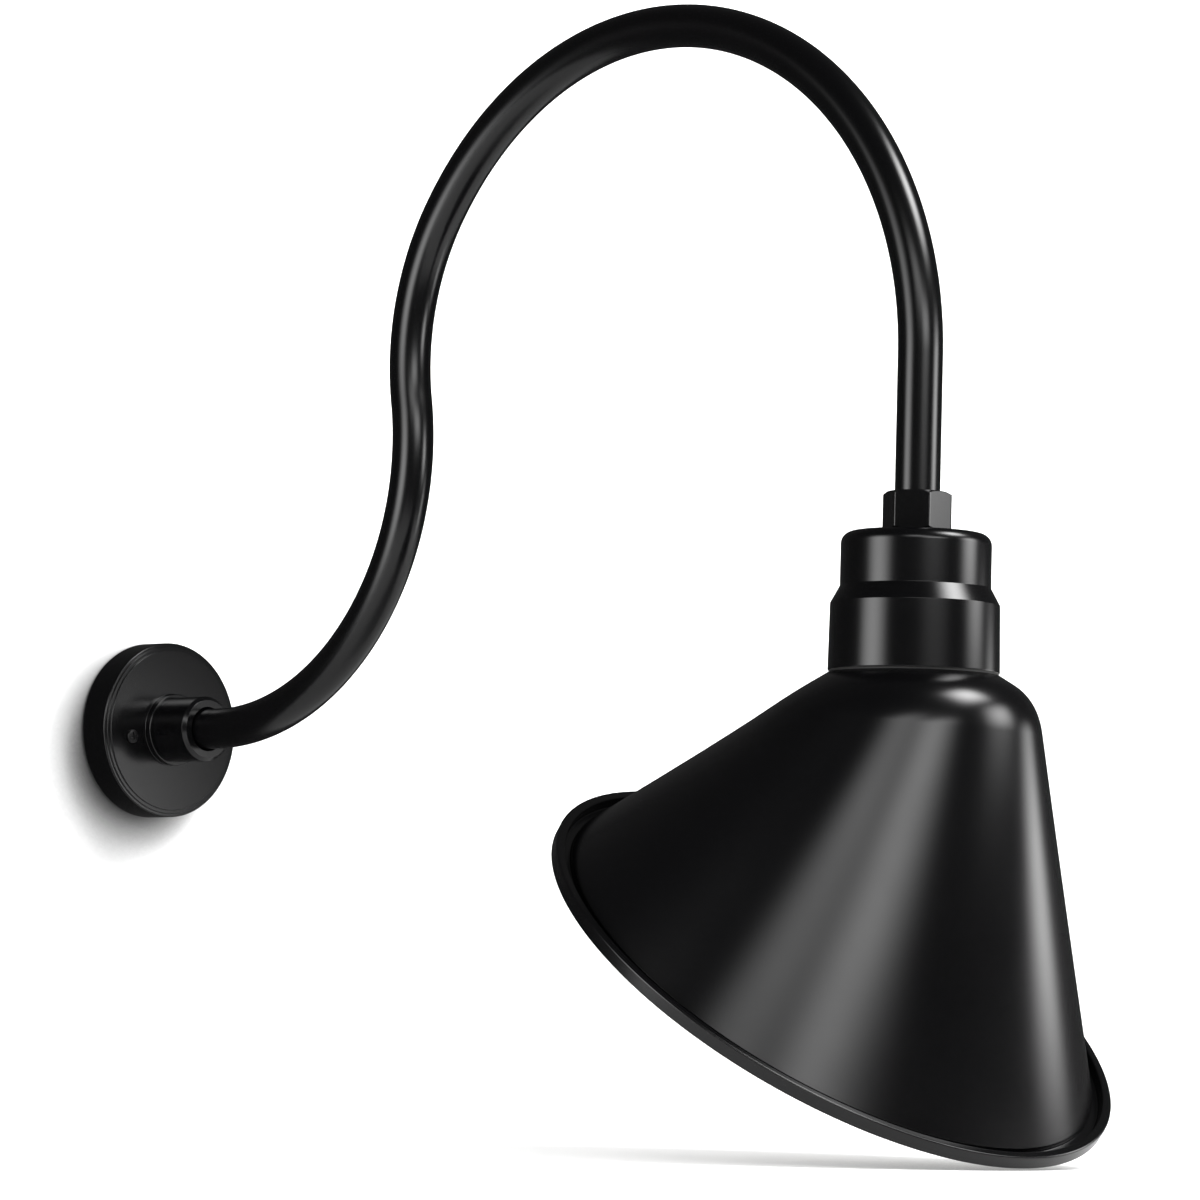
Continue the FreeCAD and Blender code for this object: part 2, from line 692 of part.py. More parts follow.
def make_nut_washer():
    body = new_body("nut_washer")
    turned(body, "washer_ring", [
        ("bore_radius", "0"),
        ("washer_radius", "0"),
        ("washer_radius", "washer_thickness"),
        ("bore_radius", "washer_thickness")])
    place(body, out="reach", up="head_height")


def make_hex_lock_nut():
    body = new_body("hex_lock_nut")
    hexagon = sketch_on(body, "nut_hexagon", "XY_Plane", out="washer_thickness")
    draw_hexagon(hexagon, "nut_across_flats / 2 / cos(30 deg)")
    draw_circle(hexagon, "bore_radius")
    padded(body, "nut_block", hexagon, "nut_height")
    top = "washer_thickness + nut_height"
    corner = "nut_across_flats / 2 / cos(30 deg)"
    turned(body, "nut_crown", [
        ("%s - nut_bevel" % corner, top + " + cut_margin"),
        ("%s - nut_bevel" % corner, top),
        ("%s + cut_margin" % corner, top + " - (nut_bevel + cut_margin) * nut_bevel_slope"),
        ("%s + cut_margin" % corner, top + " + cut_margin")], cut=True)
    place(body, out="reach", up="head_height")


# Socket housing

def make_neck_housing():
    body = new_body("neck_housing")
    inner_upper = "upper_radius - housing_wall"
    inner_lower = "lower_radius - housing_wall"
    ring_top = "lower_radius - casting_draft"
    turned(body, "housing_casting", [
        ("bore_radius", "0"),
        ("upper_radius", "0"),
        ("upper_radius", "upper_height"),
        (ring_top, "upper_height + taper_height"),
        ("lower_radius", "housing_height"),
        (inner_lower, "housing_height"),
        (inner_lower, "upper_height + taper_height + housing_wall"),
        (inner_upper, "upper_height + housing_wall"),
        (inner_upper, "top_thickness"),
        ("arm_hub_radius", "top_thickness"),
        ("arm_hub_radius", "arm_hub_depth"),
        ("bore_radius", "arm_hub_depth")])
    edged(body, "top_edge", "Fillet", [("upper_radius", "0")], "top_round")
    edged(body, "ring_edges", "Fillet", [("upper_radius", "upper_height"),
                                         (ring_top, "upper_height + taper_height"),
                                         ("lower_radius", "housing_height")], "edge_round")
    posts = sketch_on(body, "posts_drawing", "XY_Plane", out="top_thickness - cut_margin")
    draw_circle(posts, "post_radius", across="post_place")
    draw_circle(posts, "small_screw_radius + running_gap", across="post_place")
    post = padded(body, "post", posts, "post_length - top_thickness + cut_margin")
    repeated(body, "post_pair", post, 2)
    lugs = sketch_on(body, "lugs_drawing", "XY_Plane", out="housing_height - lug_height")
    draw_circle(lugs, "lug_radius", across="lug_place")
    lug = padded(body, "lug", lugs, "lug_height")
    repeated(body, "lug_ring", lug, 4)
    taps = sketch_on(body, "taps_drawing", "XY_Plane", out="housing_height")
    draw_circle(taps, "shade_screw_radius + running_gap", across="lug_place")
    tap = pocketed(body, "tap", taps, "shade_screw_bite + cut_margin")
    repeated(body, "tap_ring", tap, 4)
    place_in_head(body)


# Lampholder and what carries it

def make_holder_plate():
    body = new_body("holder_plate")
    disc = sketch_on(body, "holder_disc", "XY_Plane", out="plate_seat")
    draw_circle(disc, "holder_plate_radius")
    draw_circle(disc, "wire_hole_radius")
    for side in ("-", ""):
        draw_circle(disc, "small_screw_radius + screw_gap", across=side + "(post_place)")
        draw_circle(disc, "small_screw_radius + screw_gap", up=side + "(holder_screw_place)")
    padded(body, "holder_sheet", disc, "holder_plate_thickness")
    place_in_head(body)


def make_holder_plate_screws():
    body = new_body("holder_plate_screws")
    shank = screw(body, "post_screw", "post_place", "holder_top", "plate_seat - small_screw_bite",
                  "small_screw_radius", "small_head_radius", "small_head_height")
    slot = drive_slot(body, "post_screw_drive", "post_place", "holder_top + small_head_height",
                      "small_head_radius * 2", "recess_width", "recess_width")
    repeated(body, "post_screw_pair", [shank, slot], 2)
    place_in_head(body)


def make_lampholder():
    body = new_body("lampholder")
    turned(body, "porcelain", [
        ("0", "holder_top"),
        ("holder_flange_radius - holder_flange_bevel", "holder_top"),
        ("holder_flange_radius", "holder_top + holder_flange_bevel"),
        ("holder_flange_radius", "holder_top + holder_flange_height"),
        ("holder_radius", "holder_top + holder_flange_height + holder_flange_slope"),
        ("holder_radius", "holder_mouth"),
        ("cavity_radius", "holder_mouth"),
        ("cavity_radius", "holder_top + holder_floor"),
        ("0", "holder_top + holder_floor")])
    edged(body, "mouth_edge", "Fillet", [("holder_radius", "holder_mouth")], "holder_edge_round")
    holes = sketch_on(body, "holder_holes_drawing", "XY_Plane", out="holder_top")
    for side in ("-", ""):
        draw_circle(holes, "small_screw_radius + running_gap", up=side + "(holder_screw_place)")
        draw_circle(holes, "terminal_radius", across=side + "(lead_offset)")
    pocketed(body, "holder_holes", holes, "terminal_depth", back=True)
    place_in_head(body)


def make_lampholder_screws():
    body = new_body("lampholder_screws")
    shank = screw(body, "holder_screw", "holder_screw_place", "plate_seat",
                  "holder_top + terminal_depth - soft_gap",
                  "small_screw_radius", "small_head_radius", "small_head_height")
    repeated(body, "holder_screw_pair", [shank], 2)
    place_in_head(body, spin=90.0)


def make_terminals():
    body = new_body("terminals")
    post = turned(body, "terminal", [
        ("0", "holder_top"),
        ("terminal_radius - running_gap", "holder_top"),
        ("terminal_radius - running_gap", "holder_top + terminal_depth"),
        ("0", "holder_top + terminal_depth")], across="lead_offset")
    repeated(body, "terminal_pair", [post], 2)
    place_in_head(body)


def threaded_wall(body, name, inside, top, turns, skirt):
    """A wall of even thickness that swells once for each turn of thread, and ends in a skirt."""
    steps = []
    for turn in range(turns):
        start = "%s + thread_pitch * %d" % (top, turn)
        steps.append(("", start))
        steps.append((" + cap_thread_depth", start + " + thread_pitch * thread_rise_share"))
        steps.append((" + cap_thread_depth", start + " + thread_pitch * (1 - thread_rise_share)"))
    end = "%s + thread_pitch * %d" % (top, turns)
    steps += [("", end), ("", "%s + %s" % (end, skirt))]
    outer = [(inside + " + shell_wall" + swell, depth) for swell, depth in steps]
    inner = [(inside + swell, depth) for swell, depth in steps]
    return turned(body, name, outer + inner[::-1])


def make_screw_shell():
    """The threaded brass shell in the porcelain, with a floor round the contact."""
    body = new_body("screw_shell")
    floor = "holder_top + holder_floor"
    turned(body, "shell_floor", [
        ("contact_radius + shell_floor_gap", floor),
        ("shell_bore + shell_wall", floor),
        ("shell_bore + shell_wall", floor + " + shell_wall"),
        ("contact_radius + shell_floor_gap", floor + " + shell_wall")])
    turns = int(amount_of("cap_turns")) + 2
    threaded_wall(body, "shell_thread", "shell_bore", floor, turns, "shell_wall")
    place_in_head(body)


def make_centre_contact():
    body = new_body("centre_contact")
    floor = "holder_top + holder_floor"
    turned(body, "contact_button", [
        ("0", floor),
        ("contact_radius", floor),
        ("contact_radius", floor + " + contact_step"),
        ("contact_crown_radius", floor + " + contact_height"),
        ("0", floor + " + contact_height")])
    place_in_head(body)


# Bulb

def make_bulb_contact():
    body = new_body("bulb_contact")
    turned(body, "solder_tip", [
        ("0", "tip_face"),
        ("tip_end_radius", "tip_face"),
        ("tip_radius", "tip_face + tip_height"),
        ("0", "tip_face + tip_height")])
    place_in_head(body)


def make_bulb_insulator():
    body = new_body("bulb_insulator")
    turned(body, "insulator_cone", [
        ("0", "tip_face + tip_height"),
        ("tip_radius", "tip_face + tip_height"),
        ("cap_radius - cap_thread_depth", "cap_top"),
        ("0", "cap_top")])
    place_in_head(body)


def make_bulb_cap():
    body = new_body("bulb_cap")
    turns = int(amount_of("cap_turns"))
    threaded_wall(body, "cap_thread", "cap_bore", "cap_top", turns, "cap_skirt")
    place_in_head(body)


def globe_profile(body, name, corners, ball):
    """Half a bulb: straight edges up its neck, and then a line that runs tangent into the ball."""
    sketch = sketch_on(body, name, "XZ_Plane")
    points = [FreeCAD.Vector(amount_of(across), amount_of(up), 0) for across, up in corners]
    radius = amount_of(ball)
    centre = points[0] - FreeCAD.Vector(0, radius, 0)
    to_neck = points[-1] - centre
    touch = math.atan2(to_neck.y, to_neck.x) + math.acos(radius / to_neck.Length)
    touch_point = centre + FreeCAD.Vector(math.cos(touch), math.sin(touch), 0) * radius
    for start, end in zip(points, points[1:] + [touch_point]):
        sketch.addGeometry(Part.LineSegment(start, end), False)
    circle = Part.Circle(centre, FreeCAD.Vector(0, 0, 1), radius)
    arc = sketch.addGeometry(Part.ArcOfCircle(circle, touch, math.pi / 2), False)
    for number, (across, up) in enumerate(corners):
        pin_point(sketch, number, 1, across, up)
    for number in range(len(corners) - 1):
        sketch.addConstraint(Sketcher.Constraint("Coincident", number, 2, number + 1, 1))
    sketch.addConstraint(Sketcher.Constraint("Tangent", len(corners) - 1, 2, arc, 1))
    sketch.addConstraint(Sketcher.Constraint("Coincident", arc, 2, 0, 1))
    pin_point(sketch, arc, 3, "0", "%s - (%s)" % (corners[0][1], ball))
    return sketch


def make_bulb_globe():
    """A hollow frosted glass bulb, whose foot stands inside the cap."""
    body = new_body("bulb_globe")
    foot, rim, bottom = "cap_top + thread_pitch", "cap_rim", "cap_rim + globe_length"
    inside = "cap_bore - soft_gap"
    outer = globe_profile(body, "glass_outline", [
        ("0", bottom), ("0", foot), (inside, foot), (inside, rim), ("globe_neck_radius", rim)],
        "globe_radius")
    turned_about(body, "glass_outside", outer)
    inner = globe_profile(body, "hollow_outline", [
        ("0", bottom + " - glass_wall"), ("0", foot), (inside + " - glass_wall", foot),
        (inside + " - glass_wall", rim)], "globe_radius - glass_wall")
    turned_about(body, "glass_hollow", inner, cut=True)
    place_in_head(body)


# Shade

def level_circle(body, name, radius, depth):
    sketch = sketch_on(body, name, "XY_Plane", out=depth)
    draw_circle(sketch, radius)
    return sketch


def blended_ring(body, name, rings, shares):
    """A ring part of the way between the crown's edge, the shoulder's corner and the tilted foot.

    Each of the three is a circle, given as (radius, offset across, depth). Points at the same angle
    are mixed in the given shares, which makes an ellipse that leans as much as the foot's share.
    """
    width, across, depth = [
        "(" + " + ".join("%s * (%s)" % (share, ring[part]) for ring, share in zip(rings, shares)) + ")"
        for part in range(3)]
    foot_part = "%s * (%s)" % (shares[2], rings[2][0])
    across_way = "(%s - %s * (1 - cos(rim_tilt * 1 deg)))" % (width, foot_part)
    depth_way = "(%s * sin(rim_tilt * 1 deg))" % foot_part
    lean = "atan(%s / %s)" % (depth_way, across_way)
    minor = "sqrt(%s ^ 2 + %s ^ 2)" % (across_way, depth_way)
    sketch = body.newObject("Sketcher::SketchObject", name)
    sketch.AttachmentSupport = [(origin_feature(body, "XY_Plane"), "")]
    sketch.MapMode = "FlatFace"
    spot = FreeCAD.Vector(0, amount_of(across), amount_of(depth))
    turn = FreeCAD.Rotation(FreeCAD.Vector(1, 0, 0), amount_of(lean))
    sketch.AttachmentOffset = FreeCAD.Placement(spot, turn)
    sketch.setExpression(".AttachmentOffset.Base.y", formula(across))
    sketch.setExpression(".AttachmentOffset.Base.z", formula(depth))
    sketch.setExpression(".AttachmentOffset.Rotation.Angle", formula(lean))
    if amount_of(shares[2]) in (0.0, 1.0):
        draw_circle(sketch, width)
    else:
        draw_ellipse(sketch, width, minor)
    return sketch


def draw_ellipse(sketch, major, minor):
    """An ellipse about the sketch's origin, with its long axis along the sketch's X."""
    centre = FreeCAD.Vector(0, 0, 0)
    long_end = FreeCAD.Vector(amount_of(major), 0, 0)
    short_end = FreeCAD.Vector(0, amount_of(minor), 0)
    item = sketch.addGeometry(Part.Ellipse(long_end, short_end, centre), False)
    sketch.exposeInternalGeometry(item)
    pin_point(sketch, item, 3, "0", "0")
    sketch.addConstraint(Sketcher.Constraint("Horizontal", item + 1))
    for axis, radius in ((item + 1, major), (item + 2, minor)):
        number = sketch.addConstraint(Sketcher.Constraint("Distance", axis, amount_of(radius) * 2))
        sketch.setExpression("Constraints[%d]" % number, formula("2 * (%s)" % radius))


def partway(share, first, second):
    """A formula for a size that takes this share of the first and the rest of the second."""
    return "%s * (%s) + (1 - %s) * (%s)" % (share, first, share, second)


def crown_and_cone(body, name, top, crown, shoulder, corner, foot, height):
    """A level crown that turns over a rounded shoulder into a cone down to the tilted rim."""
    foot_across = "(%s) * sin(rim_tilt * 1 deg) - rim_back" % height
    foot_depth = "rim_depth - (%s) * cos(rim_tilt * 1 deg)" % height
    rings = [(crown, "0", top), (shoulder, "0", corner), (foot, foot_across, foot_depth)]
    before, after = "crown_turn_share", "cone_turn_share"
    turn_steps = 4
    sketches = []
    for step in range(turn_steps + 1):
        along = step / turn_steps
        start, middle, end = (1 - along) ** 2, 2 * along * (1 - along), along ** 2
        shares = ["(%s * %s)" % (start, before),
                  "(%s * (1 - %s) + %s + %s * (1 - %s))" % (start, before, middle, end, after),
                  "(%s * %s)" % (end, after)]
        sketches.append(blended_ring(body, "%s_ring_%d" % (name, step), rings, shares))
    turned(body, name + "_crown", [
        ("0", top),
        (crown, top),
        (partway(before, crown, shoulder), partway(before, top, corner)),
        ("0", partway(before, top, corner))])
    lofted(body, name + "_shoulder", sketches, ruled=False)
    last = blended_ring(body, name + "_foot_ring", rings, ["0", "0", "1"])
    lofted(body, name + "_cone", [sketches[-1], last], ruled=True)


def lofted(body, name, sections, ruled):
    loft = body.newObject("PartDesign::AdditiveLoft", name)
    loft.Profile = sections[0]
    loft.Sections = sections[1:]
    loft.Ruled = ruled
    document.recompute()
    return loft


def draw_rounded_box(sketch, near, far, low, high, corner):
    """A box of four straight edges, joined at the corners by arcs of one radius."""
    near_in, far_in = "%s + %s" % (near, corner), "%s - %s" % (far, corner)
    low_in, high_in = "%s + %s" % (low, corner), "%s - %s" % (high, corner)
    edges = [((near_in, low), (far_in, low)), ((far, low_in), (far, high_in)),
             ((far_in, high), (near_in, high)), ((near, high_in), (near, low_in))]
    centres = [(far_in, low_in), (far_in, high_in), (near_in, high_in), (near_in, low_in)]
    quarter = math.pi / 2
    for number, (edge, centre) in enumerate(zip(edges, centres)):
        start, end, middle = [FreeCAD.Vector(amount_of(across), amount_of(up), 0)
                              for across, up in edge + (centre,)]
        line = sketch.addGeometry(Part.LineSegment(start, end), False)
        circle = Part.Circle(middle, FreeCAD.Vector(0, 0, 1), amount_of(corner))
        arc = sketch.addGeometry(Part.ArcOfCircle(circle, (number - 1) * quarter, number * quarter), False)
        pin_point(sketch, line, 1, *edge[0])
        pin_point(sketch, line, 2, *edge[1])
        sketch.addConstraint(Sketcher.Constraint("Coincident", line, 2, arc, 1))
        radius = sketch.addConstraint(Sketcher.Constraint("Radius", arc, amount_of(corner)))
        sketch.setExpression("Constraints[%d]" % radius, formula(corner))
    arcs = range(1, 2 * len(edges), 2)
    for arc in arcs:
        following = (arc + 1) % (2 * len(edges))
        sketch.addConstraint(Sketcher.Constraint("Coincident", arc, 2, following, 1))


def make_shade():
    hollow = document.addObject("PartDesign::Body", "shade_hollow")
    corner = "crown_seat + shoulder_depth"
    crown_and_cone(hollow, "inside", "ring_seat", "crown_radius - shade_wall * crown_wall_share",
                   "shoulder_radius - shade_wall", corner + " + shade_wall * corner_wall_share",
                   "cone_foot - shade_wall * foot_wall_share", "foot_height - hollow_overlap")
    body = new_body("shade")
    crown_and_cone(body, "outside", "crown_seat", "crown_radius", "shoulder_radius", corner,
                   "cone_foot", "foot_height")
    brim = rim_section(body, "brim_drawing")
    draw_outline(brim, [
        ("cone_foot - shade_wall", "-(foot_height)"),
        ("cone_foot - shade_wall", "-(brim_height)"),
        ("rim_radius - band_width / 2", "-(brim_height)"),
        ("rim_radius - band_width / 2", "-(brim_height + shade_wall)"),
        ("cone_foot", "-(brim_height + shade_wall)"),
        ("cone_foot", "-(foot_height)")])
    turned_about(body, "brim", brim)
    band = rim_section(body, "band_drawing")
    draw_rounded_box(band, "rim_radius - band_width", "rim_radius", "-(band_height)", "0", "band_round")
    turned_about(body, "band", band)
    cut = body.newObject("PartDesign::Boolean", "hollowed")
    cut.Type = "Cut"
    cut.Group = [hollow]
    document.recompute()
    mouth = level_circle(body, "mouth_drawing", "mouth_radius", "crown_seat")
    pocketed(body, "mouth", mouth, "shade_wall + cut_margin", back=True)
    holes = sketch_on(body, "crown_holes_drawing", "XY_Plane", out="crown_seat")
    for across, up in four_places("lug_place"):
        draw_circle(holes, "shade_screw_radius + screw_gap", across=across, up=up)
    pocketed(body, "crown_holes", holes, "shade_wall + cut_margin", back=True)
    place_in_head(body)


def rim_section(body, name):
    """A sketch through the rim's axis: its X is the distance from the axis, its Y points down."""
    return sketch_on(body, name, "YZ_Plane", across="-(rim_back)", up="rim_depth", tilt="rim_tilt")


def four_places(radius):
    return [(radius, "0"), ("0", radius), ("-(%s)" % radius, "0"), ("0", "-(%s)" % radius)]


def flat_ring(label, inner, outer, seat, thickness):
    """A flat ring under the housing, with a hole for each shade screw."""
    body = new_body(label)
    ring = sketch_on(body, label + "_drawing", "XY_Plane", out=seat)
    draw_circle(ring, outer)
    draw_circle(ring, inner)
    for across, up in four_places("lug_place"):
        draw_circle(ring, "shade_screw_radius + screw_gap", across=across, up=up)
    padded(body, label + "_sheet", ring, thickness)
    place_in_head(body)


def make_shade_fixings():
    inner = "mouth_radius + mouth_lip"
    flat_ring("shade_gasket", inner, "lower_radius - seam_inset", "housing_height", "seam_gasket")
    flat_ring("shade_ring", inner, inner + " + ring_width", "ring_seat", "ring_thickness")
    body = new_body("shade_screws")
    seat = "ring_seat + ring_thickness"
    shank = screw(body, "shade_screw", "lug_place", seat, "housing_height - shade_screw_bite",
                  "shade_screw_radius", "small_head_radius", "small_head_height")
    slot = drive_slot(body, "shade_screw_drive", "lug_place", seat + " + small_head_height",
                      "small_head_radius * 2", "recess_width", "recess_width")
    repeated(body, "shade_screw_ring", [shank, slot], 4)
    place_in_head(body)


make_wall_gasket()
make_straps()
make_strap_rivet()
make_ground_screw()
make_backplate()
make_plate_screws()
make_hub_collar()
make_hub_set_screw()
make_gooseneck_arm()
make_leads()
make_wire_connectors()
make_nut_washer()
make_hex_lock_nut()
make_neck_housing()
make_holder_plate()
make_holder_plate_screws()
make_lampholder()
make_lampholder_screws()
make_terminals()
make_screw_shell()
make_centre_contact()
make_bulb_contact()
make_bulb_insulator()
make_bulb_cap()
make_bulb_globe()
make_shade()
make_shade_fixings()
document.recompute()

faults = [item.Name for item in document.Objects
          if "Invalid" in item.State or "Error" in item.State]
if faults:
    raise RuntimeError("failed objects: " + ", ".join(faults))
bodies = [item for item in document.Objects
          if item.TypeId == "PartDesign::Body" and item.Name != "shade_hollow"]
for body in bodies:
    if body.Shape.isNull() or not body.Shape.isValid():
        raise RuntimeError("bad shape: " + body.Label)
os.makedirs("parts", exist_ok=True)
for body in bodies:
    body.Shape.exportStep(os.path.join("parts", body.Label + ".step"))
    box = body.Shape.BoundBox
    print("%-20s solids %d  volume %9.1f  x %7.1f..%7.1f  y %7.1f..%7.1f  z %7.1f..%7.1f" % (
        body.Label, len(body.Shape.Solids), body.Shape.Volume,
        box.XMin, box.XMax, box.YMin, box.YMax, box.ZMin, box.ZMax))
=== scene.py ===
import bpy
import bmesh
import math
import numpy as np
from mathutils import Matrix, Vector


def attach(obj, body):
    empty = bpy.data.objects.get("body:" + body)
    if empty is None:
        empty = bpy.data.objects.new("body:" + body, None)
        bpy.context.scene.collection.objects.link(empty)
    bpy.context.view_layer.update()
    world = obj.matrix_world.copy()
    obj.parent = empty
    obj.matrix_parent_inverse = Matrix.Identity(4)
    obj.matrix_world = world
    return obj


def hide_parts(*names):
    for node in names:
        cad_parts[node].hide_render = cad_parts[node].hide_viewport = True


# Gooseneck wall sconce. The wall is the plane y = 0, the arm reaches towards -y and z is up.
# The dictionaries hold millimetres and degrees, as the drawings do, and mm turns lengths to metres.

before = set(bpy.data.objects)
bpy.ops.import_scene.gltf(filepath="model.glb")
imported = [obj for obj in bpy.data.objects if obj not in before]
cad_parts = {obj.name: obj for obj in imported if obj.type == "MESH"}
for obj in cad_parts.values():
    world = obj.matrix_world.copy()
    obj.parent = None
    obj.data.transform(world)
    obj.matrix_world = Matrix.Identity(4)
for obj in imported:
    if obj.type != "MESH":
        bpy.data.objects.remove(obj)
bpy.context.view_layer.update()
mm = 0.001
print("frame loaded")


# Closed outline of (radius, height, rounding) corners. Each corner becomes an arc that touches both of
# its edges, starting rounding / tan(half the corner) before the corner, with its spokes turned evenly.
def roundedOutline(corners, steps=6):
    points = np.array(corners, float)[:, :2]
    rounding = np.array(corners, float)[:, 2:]
    back = np.roll(points, 1, 0) - points
    ahead = np.roll(points, -1, 0) - points
    back /= np.linalg.norm(back, axis=1, keepdims=True)
    ahead /= np.linalg.norm(ahead, axis=1, keepdims=True)
    half = np.arccos(np.clip(np.sum(back * ahead, 1, keepdims=True), -1, 1)) / 2
    inward = (back + ahead) / np.linalg.norm(back + ahead, axis=1, keepdims=True)
    centre = points + inward * rounding / np.sin(half)
    first = points + back * rounding / np.tan(half) - centre
    last = points + ahead * rounding / np.tan(half) - centre
    sweep = (math.pi - 2 * half)[:, None]
    share = np.linspace(0, 1, steps + 1)[None, :, None]
    leaving, arriving = np.sin((1 - share) * sweep), np.sin(share * sweep)
    spokes = (leaving * first[:, None] + arriving * last[:, None]) / np.sin(sweep)
    return (centre[:, None] + spokes).reshape(-1, 2)


# Grids of points, rows along and columns around, to one mesh: each face joins four neighbours.
# The columns always close on themselves, and the rows too unless they end in poles. Points that fall
# together at a pole are merged, and flatFirst lets the large flat faces set the shading at an edge.
mergeDistance, flatFirst = 1e-7, 60


def gridPiece(name, grids, body, polesAtEnds=False):
    corners, start = [], 0
    for points in grids:
        rows, columns = points.shape[:2]
        index = start + np.arange(rows * columns).reshape(rows, columns)
        here = index[:-1] if polesAtEnds else index
        ahead = index[1:] if polesAtEnds else np.roll(index, -1, 0)
        square = [here, np.roll(here, -1, 1), np.roll(ahead, -1, 1), ahead]
        corners.append(np.stack(square, -1).reshape(-1, 4))
        start += rows * columns
    faces = np.concatenate(corners)
    mesh = bpy.data.meshes.new(name)
    mesh.vertices.add(start)
    places = np.concatenate([points.reshape(-1, 3) for points in grids]) * mm
    mesh.vertices.foreach_set("co", places.astype(np.float32).ravel())
    mesh.loops.add(faces.size)
    mesh.loops.foreach_set("vertex_index", faces.astype(np.int32).ravel())
    mesh.polygons.add(len(faces))
    mesh.polygons.foreach_set("loop_start", np.arange(0, faces.size, 4, dtype=np.int32))
    mesh.update(calc_edges=True)
    work = bmesh.new()
    work.from_mesh(mesh)
    bmesh.ops.remove_doubles(work, verts=work.verts, dist=mergeDistance)
    bmesh.ops.recalc_face_normals(work, faces=work.faces)
    work.to_mesh(mesh)
    work.free()
    mesh.polygons.foreach_set("use_smooth", np.ones(len(mesh.polygons), bool))
    piece = bpy.data.objects.new(name, mesh)
    bpy.context.scene.collection.objects.link(piece)
    piece.modifiers.new("flats stay flat", "WEIGHTED_NORMAL").weight = flatFirst
    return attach(piece, body)


# A ring of points for each outline point: its radius carried round the axis, at its own height.
def turnedPoints(outline, columns):
    turn = np.linspace(0, 2 * math.pi, columns, endpoint=False)
    radius, height = outline[:, 0, None], outline[:, 1, None]
    return radius * np.cos(turn), radius * np.sin(turn), height + 0 * turn


# Places in the shared frame for points that are given from the wall plate's middle.
def onWall(across, up, out):
    return np.stack([across, -out, up], -1)


arm = {
    "pipeRadius": 13.35, "pipeWall": 2.6, "start": 22.5, "straightRun": 70.0,
    "riseRadius": 178.6, "riseAngle": 99.6, "rearRadius": 168.1, "rearAngle": 42.5,
    "frontRadius": 219.2, "drop": 106.0, "engagement": 17.0, "endBevel": 0.4, "columns": 72,
}


# The arm's line as (out, up, heading). Each stretch has its radius, its length or its angle in degrees,
# and its steps: it is straight, or an arc whose heading turns evenly and whose points are its radius
# times the change of the heading's sine and cosine.
def armLine():
    out, up, heading = arm["start"], 0.0, 0.0
    stretches = [(0, arm["straightRun"] - arm["start"], 3),
                 (arm["riseRadius"], arm["riseAngle"], 96),
                 (-arm["rearRadius"], arm["rearAngle"], 44),
                 (-arm["frontRadius"], 90 + arm["riseAngle"] - arm["rearAngle"], 140),
                 (0, arm["drop"] + arm["engagement"], 6)]
    line = []
    for radius, amount, steps in stretches:
        share = np.linspace(0, 1, steps + 1)
        if radius:
            turned = heading + np.sign(radius) * np.radians(amount) * share
            outs = out + radius * (np.sin(turned) - math.sin(heading))
            ups = up - radius * (np.cos(turned) - math.cos(heading))
        else:
            turned = heading + 0 * share
            outs = out + amount * share * math.cos(heading)
            ups = up + amount * share * math.sin(heading)
        line.append(np.stack([outs, ups, turned], 1)[:-1])
        out, up, heading = outs[-1], ups[-1], turned[-1]
    line.append(np.array([[out, up, heading]]))
    return np.concatenate(line)


line = armLine()
reach = line[-1, 0]
headTop = line[-1, 1] + arm["engagement"]
print("arm reaches %.1f mm, head top at %.1f mm" % (reach, headTop))


# The same for points that are given from the top of the head, down its axis.
def inHead(across, away, depth):
    return np.stack([across, -reach - away, headTop - depth], -1)


# Materials

def linear(hexText):
    values = np.array([int(hexText[i:i + 2], 16) for i in (1, 3, 5)]) / 255
    low = values <= 0.04045
    return tuple(np.where(low, values / 12.92, ((values + 0.055) / 1.055) ** 2.4)) + (1.0,)


def addNode(tree, kind, settings=None, inputs=None):
    node = tree.nodes.new(kind)
    for key, value in (settings or {}).items():
        setattr(node, key, value)
    for key, value in (inputs or {}).items():
        if isinstance(value, bpy.types.NodeSocket):
            tree.links.new(value, node.inputs[key])
        else:
            node.inputs[key].default_value = value
    return node


finishes = {}


# A slow noise of the clouds' size mixes the two colours and sets the roughness between its two ends,
# and a fine noise of the grain's size raises the grain's height. All three are in millimetres.
def finish(name, colours, clouds, grain, height, rough, constants=None, stretch=(1, 1, 1)):
    material = bpy.data.materials.new(name)
    material.use_nodes = True
    tree = material.node_tree
    shader = tree.nodes["Principled BSDF"]
    for key, value in (constants or {}).items():
        shader.inputs[key].default_value = value
    place = addNode(tree, "ShaderNodeTexCoord").outputs["Object"]
    spot = addNode(tree, "ShaderNodeMapping", inputs={"Vector": place, "Scale": stretch}).outputs[0]
    slow = addNode(tree, "ShaderNodeTexNoise", inputs={
        "Vector": spot, "Scale": 1 / (clouds * mm), "Detail": 4.0, "Roughness": 0.55}).outputs["Fac"]
    fine = addNode(tree, "ShaderNodeTexNoise", inputs={
        "Vector": spot, "Scale": 1 / (grain * mm), "Detail": 2.0}).outputs["Fac"]
    tint = addNode(tree, "ShaderNodeMix", {"data_type": "RGBA"}, {
        "Factor": slow, "A": linear(colours[0]), "B": linear(colours[1])})
    tree.links.new(tint.outputs["Result"], shader.inputs["Base Color"])
    cloudy = addNode(tree, "ShaderNodeMapRange", inputs={
        "Value": slow, "From Min": 0.3, "From Max": 0.7, "To Min": rough[0], "To Max": rough[1]})
    tree.links.new(cloudy.outputs[0], shader.inputs["Roughness"])
    bump = addNode(tree, "ShaderNodeBump", inputs={
        "Height": fine, "Strength": 1.0, "Distance": height * mm})
    tree.links.new(bump.outputs[0], shader.inputs["Normal"])
    finishes[name] = material


